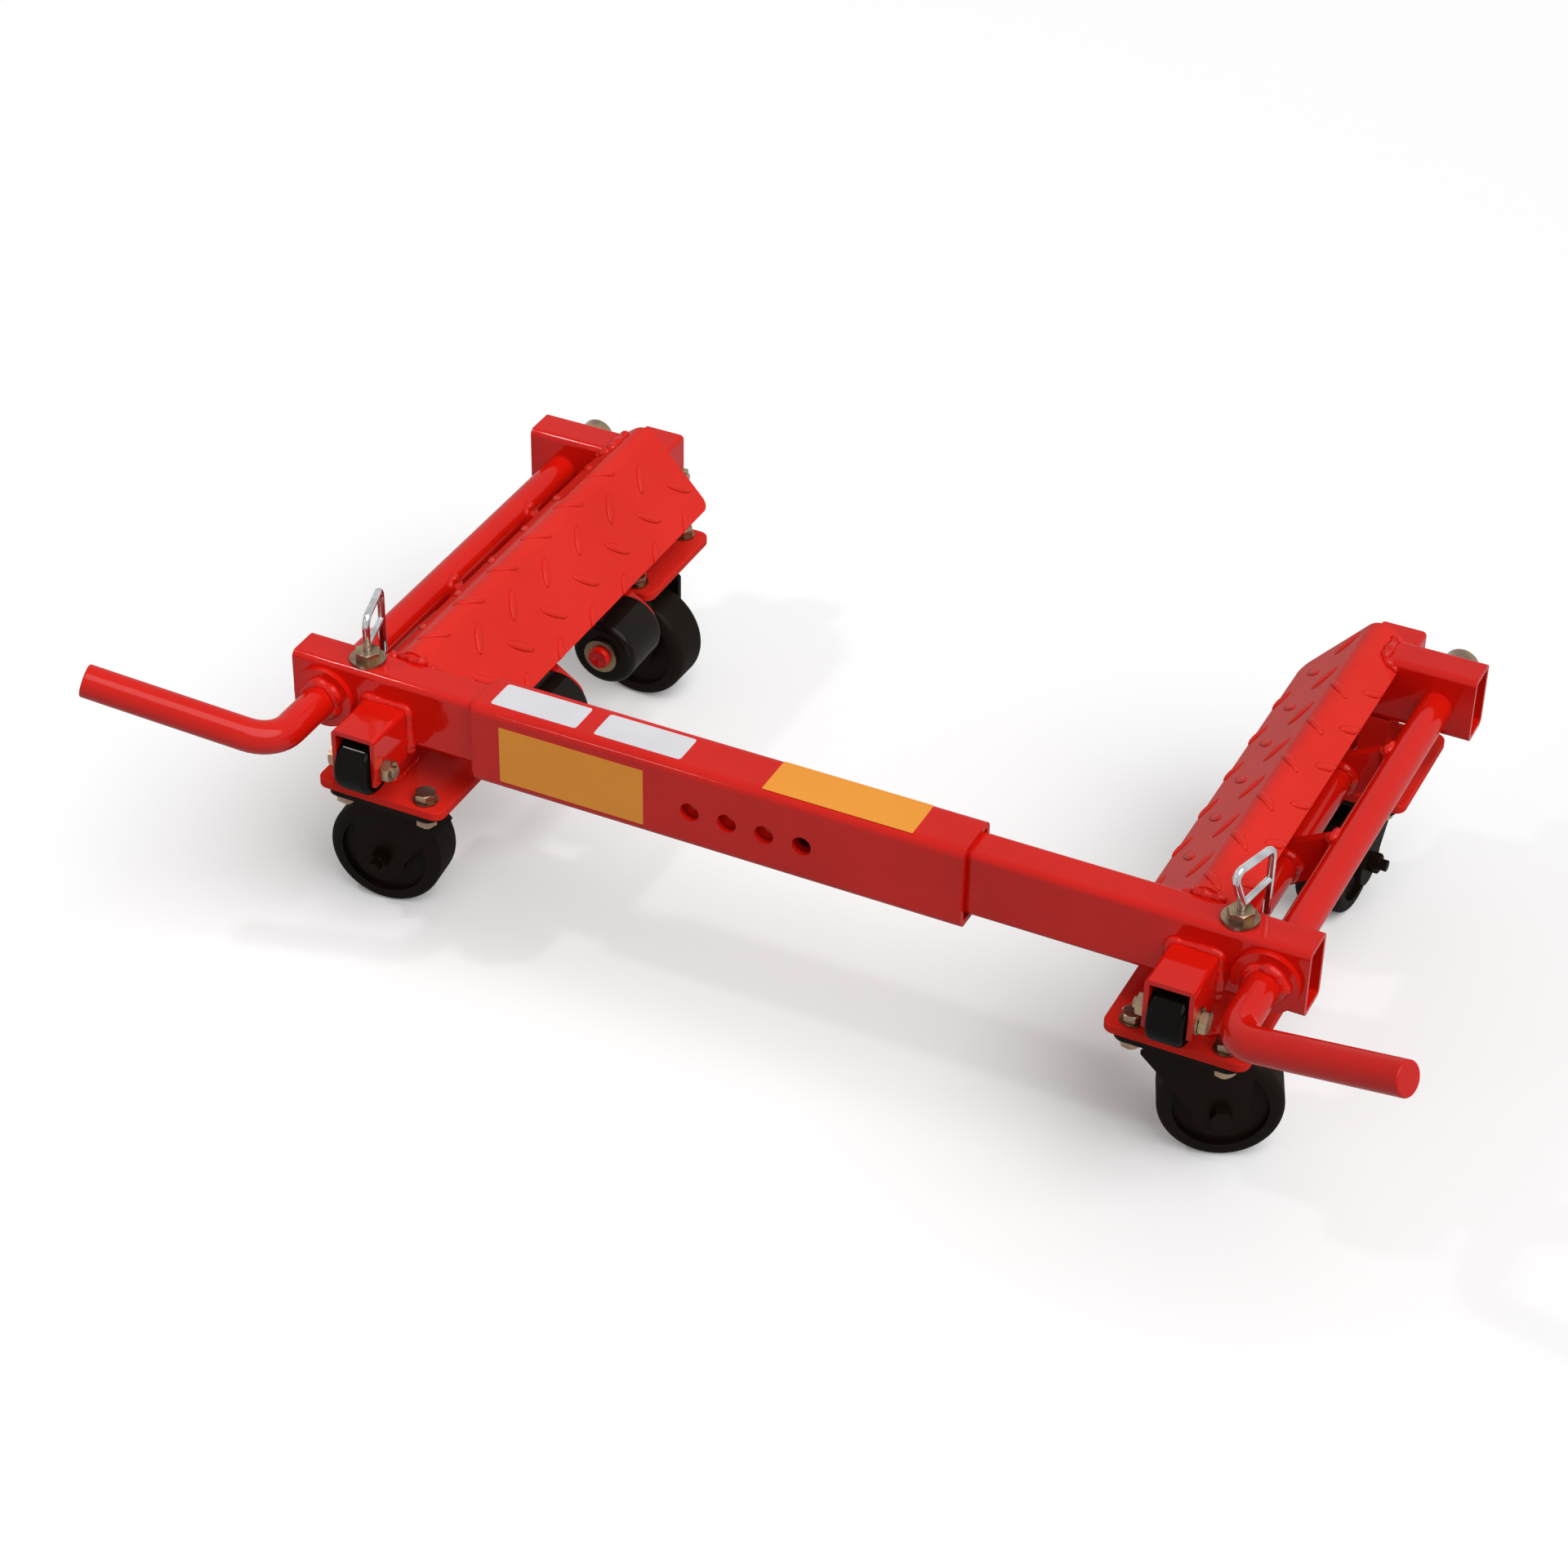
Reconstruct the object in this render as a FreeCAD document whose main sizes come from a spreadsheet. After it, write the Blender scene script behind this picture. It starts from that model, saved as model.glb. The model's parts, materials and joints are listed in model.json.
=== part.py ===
"""Lever-type wheel dolly: two carriages on swivel casters, joined by a telescopic front beam.

X runs along the beam, Y from front to rear, Z up from the floor. Sizes are in millimetres and live in
the sheet. Pieces are drawn in the beam's own frame (x = 0 midway between the lever bars, y = 0 at the
front tubes' centre, z = 0 on the floor), and every node is then moved so that the origin is below the
middle of the whole.
"""
import FreeCAD, Part
import math
import os
import re
import Sketcher

doc = FreeCAD.newDocument("wheel_dolly")
sheet = doc.addObject("Spreadsheet::Sheet", "Sizes")

SIZES = [
    # front beam and rear tubes
    ("half_span", 439.5, "middle to the outer end of each tube"),
    ("rear_spacing", 400.0, "front tubes to rear tubes, centre to centre"),
    ("tube_height", 60.0, "tube section"),
    ("tube_depth", 35.0, "tube section"),
    ("tube_wall", 4.0, "tube wall"),
    ("tube_corner", 6.0, "outer corner radius of a tube"),
    ("rear_tube_length", 169.5, "rear tube before its sloped cut"),
    ("sleeve_wall", 5.0, "sleeve wall"),
    ("sleeve_corner", 8.0, "outer corner radius of the sleeve"),
    ("sleeve_tread_gap", 13.17, "sleeve's left end to the tread plate's inner edge"),
    ("right_tube_show", 276.0, "right tube's length outside the sleeve"),
    ("sleeve_roof_gap", 0.3, "gap between the sliding tube and the sleeve's roof"),
    ("sleeve_floor_gap", 4.7, "gap between the sliding tube and the sleeve's floor"),
    ("sleeve_side_gap", 2.5, "gap between the sliding tube and the sleeve's sides"),
    ("stub_insert", 50.0, "left tube's length inside the sleeve"),
    ("inner_reach", 110.0, "sliding tube's reach past the middle"),
    ("bead_length", 3.0, "weld bead along the beam"),
    ("bead_margin", 3.0, "weld bead's step in from the sleeve's outside"),
    ("width_hole_dia", 16.5, "width holes"),
    ("width_hole_pitch", 32.6, "width hole spacing"),
    ("width_hole_x", 27.0, "middle to the outermost width hole"),
    ("width_hole_drop", 5.0, "width holes below the tubes' centre line"),
    # tread plates
    ("tread_slope", 47.5, "slope of the inner face in degrees"),
    ("tread_face", 93.0, "width of the inner face"),
    ("tread_flange", 37.0, "width of the outer flange"),
    ("tread_open", 6.5, "how far the flange opens beyond square, in degrees"),
    ("tread_plate", 5.0, "plate thickness"),
    ("tread_bend", 10.0, "inside radius of the bend"),
    ("tread_crest_inset", 96.5, "outer end of the tubes to the crest"),
    ("tread_crest_rise", 42.0, "crest above the tubes' centre line"),
    ("tread_overhang", 4.5, "plate past the rear tube's rear face"),
    ("tread_tip", 10.0, "rounding of the plate's inner rear corner"),
    # caster mounts
    ("mount_inset", 91.0, "outer end of the tubes to a caster mount's centre"),
    ("mount_in", 15.5, "mount centre inside its tube's centre line"),
    ("mount_size", 118.0, "side of the square mount plate"),
    ("mount_plate", 8.0, "mount plate thickness"),
    ("mount_corner", 10.0, "mount plate corner radius"),
    ("plate_edge", 1.2, "rounding of the plates' rims"),
    ("riser_height", 40.0, "mount plate to tube"),
    ("riser_length", 24.0, "riser along the beam"),
    ("riser_out", 10.5, "riser's centre outside the mount's centre"),
    ("riser_wall", 4.0, "riser wall"),
    ("bolt_pitch_x", 76.0, "caster bolt spacing along the beam"),
    ("bolt_pitch_y", 90.0, "caster bolt spacing from front to rear"),
    ("bolt_dia", 10.0, "caster bolt"),
    ("bolt_hole_gap", 0.5, "bolt to hole, all round"),
    ("bolt_head_dia", 18.9, "bolt head and nut across corners"),
    ("bolt_head", 7.0, "bolt head height"),
    ("bolt_nut", 8.5, "nut height"),
    ("bolt_tail", 3.0, "bolt end past its nut"),
    ("bolt_washer_dia", 21.0, "washer under the head"),
    ("bolt_washer", 2.0, "washer thickness"),
    ("hex_face_share", 0.84, "flat end of a hexagon as a share of its corner radius"),
    ("hex_bevel_share", 0.1, "height of a hexagon's bevel as a share of its corner radius"),
    # casters
    ("wheel_dia", 100.0, "caster wheel"),
    ("wheel_width", 42.0, "caster wheel"),
    ("wheel_edge", 7.0, "rounding of the wheel's edges"),
    ("wheel_rim_dia", 76.0, "inside of the tread at the wheel's faces"),
    ("wheel_hub_dia", 34.0, "wheel hub"),
    ("wheel_recess", 5.0, "depth of the dish between hub and tread"),
    ("wheel_top_gap", 5.4, "wheel to the kingpin's head"),
    ("caster_trail", 22.0, "swivel axis to wheel axle"),
    ("caster_plate_x", 102.0, "caster top plate"),
    ("caster_plate_y", 114.0, "caster top plate"),
    ("caster_plate", 6.0, "caster top plate thickness"),
    ("race_dia", 66.0, "swivel race"),
    ("race_height", 8.0, "swivel race"),
    ("kingpin_dia", 16.0, "kingpin"),
    ("kingpin_head_dia", 28.0, "kingpin head"),
    ("kingpin_head", 4.0, "kingpin head"),
    ("swivel_gap", 0.3, "free gap between turning faces"),
    ("running_gap", 0.05, "radial gap of a shaft in its bore"),
    ("fork_dia", 70.0, "fork crown"),
    ("fork_crown", 6.0, "fork crown thickness"),
    ("fork_leg", 5.0, "fork leg thickness"),
    ("fork_side_gap", 3.0, "wheel to fork leg"),
    ("fork_leg_width", 70.0, "fork leg at the crown"),
    ("fork_shoulder", 88.0, "fork leg at its widest"),
    ("fork_shoulder_drop", 10.0, "crown's top to the fork leg's widest place"),
    ("fork_foot", 22.0, "radius of the fork leg's foot"),
    ("caster_axle_dia", 10.0, "caster axle"),
    ("caster_nut_dia", 18.0, "axle head and nut across corners"),
    ("caster_nut", 9.0, "axle head and nut"),
    ("caster_axle_tail", 6.0, "axle's end past its nut"),
    # small rollers
    ("bracket_inset", 88.5, "outer end of the tubes to a roller bracket's centre"),
    ("small_roller_gap", 1.0, "small roller to its bracket on each side"),
    ("bracket_top", 7.0, "bracket's top above the tubes' centre line"),
    ("bracket_height", 45.0, "bracket from top to bottom"),
    ("bracket_reach", 71.0, "bracket's open end from the tube's centre line"),
    ("bracket_wall", 4.0, "bracket plate"),
    ("bracket_corner", 4.0, "bracket outer corner radius"),
    ("small_axle_reach", 57.0, "small roller's axle from the tube's centre line"),
    ("small_axle_drop", 28.0, "small roller's axle below the tubes' centre line"),
    ("small_roller_dia", 48.0, "small roller"),
    ("small_roller_width", 30.0, "small roller"),
    ("small_roller_edge", 5.0, "rounding of the small roller's edges"),
    ("small_axle_dia", 10.0, "small roller's bolt"),
    ("small_bolt_head_dia", 19.6, "small roller's bolt head and nut across corners"),
    ("small_bolt_head", 6.5, "small roller's bolt head"),
    ("small_bolt_nut", 8.0, "small roller's nut"),
    ("small_bolt_tail", 3.0, "small roller's bolt end past its nut"),
    ("small_bolt_washer_dia", 21.5, "washer under the small roller's bolt head"),
    ("small_bolt_washer", 2.0, "washer under the small roller's bolt head"),
    # levers
    ("pivot_inset", 31.0, "outer end of the tubes to a lever bar's axis"),
    ("pivot_drop", 3.0, "lever bar's axis below the tubes' centre line"),
    ("lever_dia", 28.0, "lever bar"),
    ("handle_start", 72.5, "front tubes' centre line to the start of the handle's bend"),
    ("handle_bend", 32.0, "centre line radius of the handle's bend"),
    ("handle_turn", 74.0, "turn of the handle's bend, in degrees"),
    ("handle_length", 136.0, "straight length of the handle past its bend"),
    ("handle_rise_left", 16.0, "left handle's rise at rest, in degrees"),
    ("handle_rise_right", 19.5, "right handle's rise at rest, in degrees"),
    ("handle_edge", 1.8, "rounding of the handle's end"),
    ("flange_dia", 54.0, "lever flange"),
    ("flange_plate", 6.0, "lever flange"),
    ("tail_lip", 1.5, "tail collar past the bar, all round"),
    ("tail_length", 36.0, "tail collar"),
    ("tail_edge", 2.5, "rounding of the tail collar's rear rim"),
    ("tail_end", 1.5, "bar's end past the tail collar"),
    ("tail_neck_dia", 20.0, "bar inside the tail collar"),
    ("lift_arm", 140.5, "bar's axis to lift roller's axis"),
    ("lift_angle", 33.2, "lift arm below the level, in degrees"),
    ("arm_plate", 10.0, "lift arm thickness"),
    ("arm_width", 36.0, "lift arm between its ends"),
    ("arm_root_step", 1.0, "lift arm's step in from the bar where it meets it"),
    ("swing_gap", 7.5, "a caster's swing to the lift arm"),
    ("tie_arm", 59.0, "bar's axis to the tie bar's axis"),
    ("tie_dia", 24.0, "tie bar"),
    ("tie_end", 10.0, "tie bar's front reach from the middle beyond its rear reach"),
    ("lift_roller_dia", 60.0, "lift roller"),
    ("lift_roller_share", 0.588, "lift roller's width as a share of the arm's distance from the middle"),
    ("lift_roller_edge", 6.0, "rounding of the lift roller's edges"),
    ("lift_axle_dia", 20.0, "lift roller's axle"),
    ("lift_side_gap", 1.0, "lift roller to its arm and to its washer"),
    ("lift_washer_dia", 31.0, "washer on the lift axle"),
    ("lift_washer", 3.0, "washer on the lift axle"),
    ("lift_axle_end", 5.0, "lift axle past its washer"),
    ("lift_axle_round", 2.5, "rounding of the lift axle's end"),
    ("lift_axle_dimple_dia", 12.0, "dimple in the lift axle's end"),
    ("lift_axle_dimple", 1.5, "dimple in the lift axle's end"),
    # pull rings
    ("ring_inset", 62.0, "outer end of the tubes to the pull ring's guide"),
    ("ring_wire", 6.5, "pull ring's wire"),
    ("ring_gap", 0.3, "wire to its guide"),
    ("ring_bend", 7.0, "centre line radius of the wire's bends"),
    ("ring_neck", 16.0, "straight wire above the tube"),
    ("ring_brace_foot", 13.8, "brace on the front leg above the tube"),
    ("ring_brace_wire", 5.5, "brace's wire"),
    ("ring_rise", 45.5, "ring's top above the tube"),
    ("ring_lean_x", 5.5, "front leg's lean towards the middle"),
    ("ring_lean_y", 9.0, "front leg's lean to the front"),
    ("ring_rear_x", 8.5, "rear leg outside the guide"),
    ("ring_rear_y", 37.0, "rear leg behind the guide"),
    ("ring_tip_drop", 15.0, "rear leg's tip below the tube's top"),
    ("ring_brace_rise", 17.0, "brace on the rear leg above the tube"),
    ("ring_lift", 20.0, "travel of the pull ring"),
    ("ring_stop_dia", 15.0, "stop collar inside the tube"),
    ("ring_stop", 4.0, "stop collar inside the tube"),
    ("ring_nut_dia", 22.0, "guide nut across corners"),
    ("ring_nut", 10.0, "guide nut"),
    ("ring_nut_flange_dia", 30.0, "guide nut's flange"),
    ("ring_nut_flange", 3.0, "guide nut's flange"),
    # how each caster stands, in degrees from straight outwards
    ("swivel_front_left", -173.0, "caster's turn"),
    ("swivel_front_right", 22.0, "caster's turn"),
    ("swivel_rear_left", -2.0, "caster's turn"),
    ("swivel_rear_right", -92.0, "caster's turn"),
    ("cut_overrun", 5.0, "how far a cutting shape runs past what it cuts"),
]

for row, (alias, number, note) in enumerate(SIZES, start=1):
    sheet.set(f"A{row}", note)
    sheet.set(f"B{row}", str(number))
    sheet.setAlias(f"B{row}", alias)
doc.recompute()
NAMES = {alias for alias, number, note in SIZES}
probe = doc.addObject("App::FeaturePython", "Probe")
probe.addProperty("App::PropertyFloat", "Number")

# Sizes that follow from others, so that pieces that fit together go on fitting.
DERIVED = {
    "pivot_x": "half_span - pivot_inset",
    "mount_x": "half_span - mount_inset",
    "bracket_x": "half_span - bracket_inset",
    "ring_x": "half_span - ring_inset",
    "tread_crest_x": "half_span - tread_crest_inset",
    "rear_tube_inner": "half_span - rear_tube_length",
    "sleeve_left": "tread_crest_x - tread_face * cos(tread_slope * 1 deg) - sleeve_tread_gap",
    "sleeve_right": "half_span - right_tube_show",
    "sleeve_depth": "tube_depth + 2 * (sleeve_side_gap + sleeve_wall)",
    "sleeve_height": "tube_height + sleeve_roof_gap + sleeve_floor_gap + 2 * sleeve_wall",
    "kingpin_reach": "kingpin_head + 2 * swivel_gap + fork_crown + race_height + caster_plate",
    "mount_height": "wheel_dia + wheel_top_gap + kingpin_reach",
    "beam_axis_height": "mount_height + mount_plate + riser_height + tube_height / 2",
    "bracket_width": "small_roller_width + 2 * (small_roller_gap + bracket_wall)",
    "caster_swing": "caster_trail + wheel_dia / 2",
    "arm_from_mid": "rear_spacing / 2 - mount_in - caster_swing - swing_gap - arm_plate",
    "lift_roller_width": "arm_from_mid * lift_roller_share",
    "handle_out": "handle_bend * (1 - cos(handle_turn * 1 deg)) + handle_length * sin(handle_turn * 1 deg)",
    "handle_front": "handle_start + handle_bend * sin(handle_turn * 1 deg)"
                    " + handle_length * cos(handle_turn * 1 deg)",
    "lift_pitch": "2 * (arm_from_mid - lift_side_gap - lift_roller_width / 2)",
    "tie_length": "2 * (arm_from_mid + arm_plate) + tie_end",
    "tail_dia": "lever_dia + 2 * tail_lip",
    "arm_root": "lever_dia - 2 * arm_root_step",
}

# Places that several pieces share, written in the names above.
PIVOT_Z = "(beam_axis_height - pivot_drop)"
TUBE_TOP = "(beam_axis_height + tube_height / 2)"
TUBE_BOTTOM = "(beam_axis_height - tube_height / 2)"
TUBE_FRONT = "(-tube_depth / 2)"
TUBE_BACK = "(tube_depth / 2)"
REAR_FACE = "(rear_spacing + tube_depth / 2)"
SLEEVE_AXIS = f"({TUBE_TOP} + sleeve_roof_gap + sleeve_wall - sleeve_height / 2)"
MOUNT_TOP = "(mount_height + mount_plate)"
CARRIAGE_MID = "(rear_spacing / 2)"
SMALL_AXLE_Z = "(beam_axis_height - small_axle_drop)"
WHEEL_AXLE_Z = "(wheel_dia / 2)"
CROWN_TOP = "(mount_height - caster_plate - race_height - swivel_gap)"
CROWN_BOTTOM = f"({CROWN_TOP} - fork_crown)"
FORK_HALF = "(wheel_width / 2 + fork_side_gap)"
FORK_OUTSIDE = f"({FORK_HALF} + fork_leg)"
LEVER_TAIL = f"({REAR_FACE} + swivel_gap + tail_length + tail_end)"
LIFT_ROLLER_INNER = "(arm_from_mid - lift_side_gap - lift_roller_width)"


def handle_end(rise):
    """How far a raised handle's rounded end reaches outwards from the bar's axis."""
    outwards = f"sin(handle_turn * 1 deg) * cos({rise} * 1 deg)"
    rim = f"(lever_dia / 2 - handle_edge) * sqrt(1 - ({outwards}) ^ 2)"
    return f"(handle_out * cos({rise} * 1 deg) + handle_edge * (1 - {outwards}) + {rim})"


HANDLE_RIM = ("(handle_edge * (1 - cos(handle_turn * 1 deg))"
              " + (lever_dia / 2 - handle_edge) * sin(handle_turn * 1 deg))")
FRAME_X = f"(({handle_end('handle_rise_right')} - {handle_end('handle_rise_left')}) / 2)"
FRAME_Y = f"((rear_spacing + small_axle_reach + small_roller_dia / 2 - handle_front - {HANDLE_RIM}) / 2)"

ALONG_X = FreeCAD.Rotation(FreeCAD.Vector(0, 1, 0), 90)
ALONG_Y = FreeCAD.Rotation(FreeCAD.Vector(1, 0, 0), -90)
ALONG_Z = FreeCAD.Rotation()
HALF_TURN = FreeCAD.Rotation(FreeCAD.Vector(0, 0, 1), 180)
SAME_PLACE = 0.01  # two places or radii closer than this are one
WIDTH_STEPS = 4  # width holes in the sleeve
PARALLEL_SHARE = 0.999  # cosine above which an edge counts as lying along an axis


def cells(text):
    """Writes a formula's size names as references to the sheet, and derived names as their own formulas."""
    def reference(word):
        name = word[0]
        if name in DERIVED:
            return f"({cells(DERIVED[name])})"
        return f"Sizes.{name}" if name in NAMES else name

    return re.sub(r"[a-z][a-z_]+", reference, text)


def value(text):
    """Gives the number that a formula stands for now."""
    probe.setExpression("Number", cells(text))
    probe.recompute()
    return probe.Number


def bind(obj, **sizes):
    """Ties an object's sizes to formulas."""
    for size, text in sizes.items():
        obj.setExpression(size, cells(text))
    return obj


def place(obj, x="0", y="0", z="0", turn=ALONG_Z):
    """Turns an object and ties its place to formulas."""
    obj.Placement = FreeCAD.Placement(FreeCAD.Vector(), turn)
    for axis, text in zip("xyz", (x, y, z)):
        obj.setExpression(f"Placement.Base.{axis}", cells(text))
    return obj


def block(name, length, width, height, x, y, z):
    """A box from its lowest corner."""
    obj = doc.addObject("Part::Box", name)
    bind(obj, Length=length, Width=width, Height=height)
    return place(obj, x, y, z)


def rod(name, diameter, length, x="0", y="0", z="0", turn=ALONG_Z):
    """A round bar that starts at a point."""
    obj = doc.addObject("Part::Cylinder", name)
    bind(obj, Radius=f"({diameter}) / 2", Height=length)
    return place(obj, x, y, z, turn)


def fuse(name, *shapes):
    """Joins shapes into one solid."""
    obj = doc.addObject("Part::MultiFuse", name)
    obj.Shapes = list(shapes)
    obj.Refine = True
    return obj


def cut(name, base, *tools):
    """Takes shapes away from a base."""
    tool = tools[0] if len(tools) == 1 else fuse(name + "_tools", *tools)
    obj = doc.addObject("Part::Cut", name)
    obj.Base = base
    obj.Tool = tool
    obj.Refine = True
    return obj


def group(name, *shapes):
    """Keeps shapes together as separate solids."""
    obj = doc.addObject("Part::Compound", name)
    obj.Links = list(shapes)
    return obj


def copy(name, source, x="0", y="0", z="0", turn=ALONG_Z):
    """The same shape at another place."""
    return place(group(name, source), x, y, z, turn)


def to_left(name, source):
    """The mirror image on the left carriage."""
    obj = doc.addObject("Part::Mirroring", name)
    obj.Source = source
    obj.Normal = FreeCAD.Vector(1, 0, 0)
    return obj


def to_rear(name, source):
    """The mirror image on the other end of the same carriage."""
    obj = doc.addObject("Part::Mirroring", name)
    obj.Source = source
    obj.Normal = FreeCAD.Vector(0, 1, 0)
    obj.setExpression("Base.y", cells(CARRIAGE_MID))
    return obj


def outline(body, role, points):
    """A closed sketch on one of a body's planes, each corner tied to two formulas."""
    sketch = body.newObject("Sketcher::SketchObject", body.Name + "_outline")
    plane = [one for one in body.Origin.OriginFeatures if one.Role == role][0]
    sketch.AttachmentSupport = [(plane, "")]
    sketch.MapMode = "FlatFace"
    corners = [FreeCAD.Vector(value(across), value(up), 0) for across, up in points]
    for start, end in zip(corners, corners[1:] + corners[:1]):
        sketch.addGeometry(Part.LineSegment(start, end), False)
    for line in range(len(points)):
        before = (line - 1) % len(points)
        sketch.addConstraint(Sketcher.Constraint("Coincident", before, 2, line, 1))
    for line, (corner, formulas) in enumerate(zip(corners, points)):
        for kind, number, text, axis in (("DistanceX", corner.x, formulas[0], -2),
                                         ("DistanceY", corner.y, formulas[1], -1)):
            if text == "0":
                sketch.addConstraint(Sketcher.Constraint("PointOnObject", line, 1, axis))
                continue
            index = sketch.addConstraint(Sketcher.Constraint(kind, -1, 1, line, 1, number))
            sketch.setExpression(f"Constraints[{index}]", cells(text))
    return sketch


def prism(name, role, points, length):
    """A body: an outline padded along its plane's normal."""
    body = doc.addObject("PartDesign::Body", name)
    pad = body.newObject("PartDesign::Pad", name + "_pad")
    pad.Profile = outline(body, role, points)
    pad.setExpression("Length", cells(length))
    return body


def turned(name, points):
    """A body: an outline of (radius, height) turned about Z."""
    body = doc.addObject("PartDesign::Body", name)
    lathe = body.newObject("PartDesign::Revolution", name + "_turn")
    lathe.Profile = outline(body, "XZ_Plane", points)
    lathe.ReferenceAxis = (lathe.Profile[0], ["V_Axis"])
    lathe.Angle = 360
    return body


def hexagon(name, corners, height, x="0", y="0", z="0", turn=ALONG_Z):
    """A hexagonal prism, measured across its corners, with its points turned off at both ends."""
    sides = doc.addObject("Part::Prism", name + "_sides")
    sides.Polygon = 6
    bind(sides, Circumradius=f"({corners}) / 2", Height=height)
    face = f"({corners}) / 2 * hex_face_share"
    bevel = f"({corners}) / 2 * hex_bevel_share"
    point = f"({corners}) / 2"
    crown = turned(name + "_crown", [("0", "0"), (face, "0"), (point, bevel), (point, f"{height} - {bevel}"),
                                     (face, height), ("0", height)])
    both = doc.addObject("Part::MultiCommon", name + "_bevelled")
    both.Shapes = [sides, crown]
    return copy(name, both, x, y, z, turn)


def rounded(body, radius, chosen):
    """Rounds the edges of a body that a test picks."""
    doc.recompute()
    base = body.Tip
    names = [f"Edge{index}" for index, edge in enumerate(base.Shape.Edges, start=1) if chosen(edge)]
    fillet = body.newObject("PartDesign::Fillet", f"{base.Name}_round")
    fillet.Base = (base, names)
    fillet.setExpression("Radius", cells(radius))
    body.Tip = fillet
    return body


def runs_along(edge, axis):
    """True for a straight edge along an axis."""
    if edge.Curve.TypeId != "Part::GeomLine":
        return False
    return abs(edge.tangentAt(edge.FirstParameter).dot(axis)) > PARALLEL_SHARE


def is_rim(edge, radius):
    """True for a full circle of a radius."""
    return edge.Curve.TypeId == "Part::GeomCircle" and abs(edge.Curve.Radius - radius) < SAME_PLACE


def rectangle(width, height, low="0"):
    """The corners of a rectangle that is centred across, and centred or raised by low upwards."""
    half, up = f"({width}) / 2", f"({height}) / 2"
    return [(f"-{half}", f"({low}) - {up}"), (half, f"({low}) - {up}"),
            (half, f"({low}) + {up}"), (f"-{half}", f"({low}) + {up}")]


def bar_section(name, depth, height, corner, length, x, z):
    """A solid bar along X with rounded long edges."""
    body = prism(name, "YZ_Plane", rectangle(depth, height), length)
    rounded(body, corner, lambda edge: runs_along(edge, FreeCAD.Vector(1, 0, 0)))
    return place(body, x=x, z=z)


def hollow_bar(name, depth, height, wall, corner, length, x, z, y="0"):
    """A tube along X with its outer corners and its inner ones rounded."""
    outer = bar_section(name + "_outside", depth, height, corner, length, x, z)
    inner = bar_section(name + "_inside", f"{depth} - 2 * {wall}", f"{height} - 2 * {wall}",
                        f"{corner} - {wall}", f"{length} + 2 * cut_overrun", f"{x} - cut_overrun", z)
    place(outer, x, y, z)
    place(inner, f"{x} - cut_overrun", y, z)
    return cut(name, outer, inner)


nodes = {}


def node(label, shape, x="0", y="0", z="0", turn=ALONG_Z):
    """A finished piece: its label names its file, and its place is in the whole object's frame."""
    obj = group("node_" + label, shape)
    obj.Label = label
    place(obj, f"{x} - {FRAME_X}", f"{y} - {FRAME_Y}", z, turn)
    nodes[label] = obj
    return obj


def lever_hole(name, x, y):
    """The bore of a lever bar through a tube."""
    return rod(name, "lever_dia + 2 * running_gap", "tube_depth + 2 * cut_overrun",
               x, f"{y} - tube_depth / 2 - cut_overrun", PIVOT_Z, ALONG_Y)


def ring_hole(name, x):
    """The pull ring's hole in a tube's top wall."""
    return rod(name, "ring_wire + 2 * ring_gap", "tube_wall + 2 * cut_overrun",
               x, "0", f"{TUBE_TOP} - tube_wall - cut_overrun")


def width_hole(name, x):
    """A width hole right through the beam."""
    return rod(name, "width_hole_dia", "sleeve_depth + 2 * cut_overrun",
               x, "-sleeve_depth / 2 - cut_overrun", "beam_axis_height - width_hole_drop", ALONG_Y)


def front_beam():
    """The sleeve with its weld bead, the fixed left tube and the sliding right tube."""
    left = hollow_bar("left_tube", "tube_depth", "tube_height", "tube_wall", "tube_corner",
                      "half_span - sleeve_left + stub_insert", "-half_span", "beam_axis_height")
    node("front_tube_left", cut("left_tube_drilled", left, lever_hole("left_bore", "-pivot_x", "0"),
                                ring_hole("left_ring_hole", "-ring_x")))
    right = hollow_bar("right_tube", "tube_depth", "tube_height", "tube_wall", "tube_corner",
                       "half_span + inner_reach", "-inner_reach", "beam_axis_height")
    node("front_tube_right", cut("right_tube_drilled", right, lever_hole("right_bore", "pivot_x", "0"),
                                 ring_hole("right_ring_hole", "ring_x"),
                                 width_hole("inner_width_hole", "width_hole_x")))
    shell = hollow_bar("sleeve_shell", "sleeve_depth", "sleeve_height", "sleeve_wall", "sleeve_corner",
                       "sleeve_left + sleeve_right", "-sleeve_left", SLEEVE_AXIS)
    holes = [width_hole(f"sleeve_hole_{step}", f"width_hole_x - {step} * width_hole_pitch")
             for step in range(WIDTH_STEPS)]
    bead_start = "-sleeve_left - bead_length"
    bead = bar_section("bead_outside", "sleeve_depth - 2 * bead_margin", "sleeve_height - 2 * bead_margin",
                       "sleeve_corner - bead_margin", "bead_length", bead_start, SLEEVE_AXIS)
    bead_hole = bar_section("bead_inside", "tube_depth", "tube_height", "tube_corner",
                            "bead_length + 2 * cut_overrun", f"{bead_start} - cut_overrun",
                            "beam_axis_height")
    node("sleeve", fuse("sleeve_welded", cut("sleeve_drilled", shell, *holes), cut("bead", bead, bead_hole)))


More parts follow.
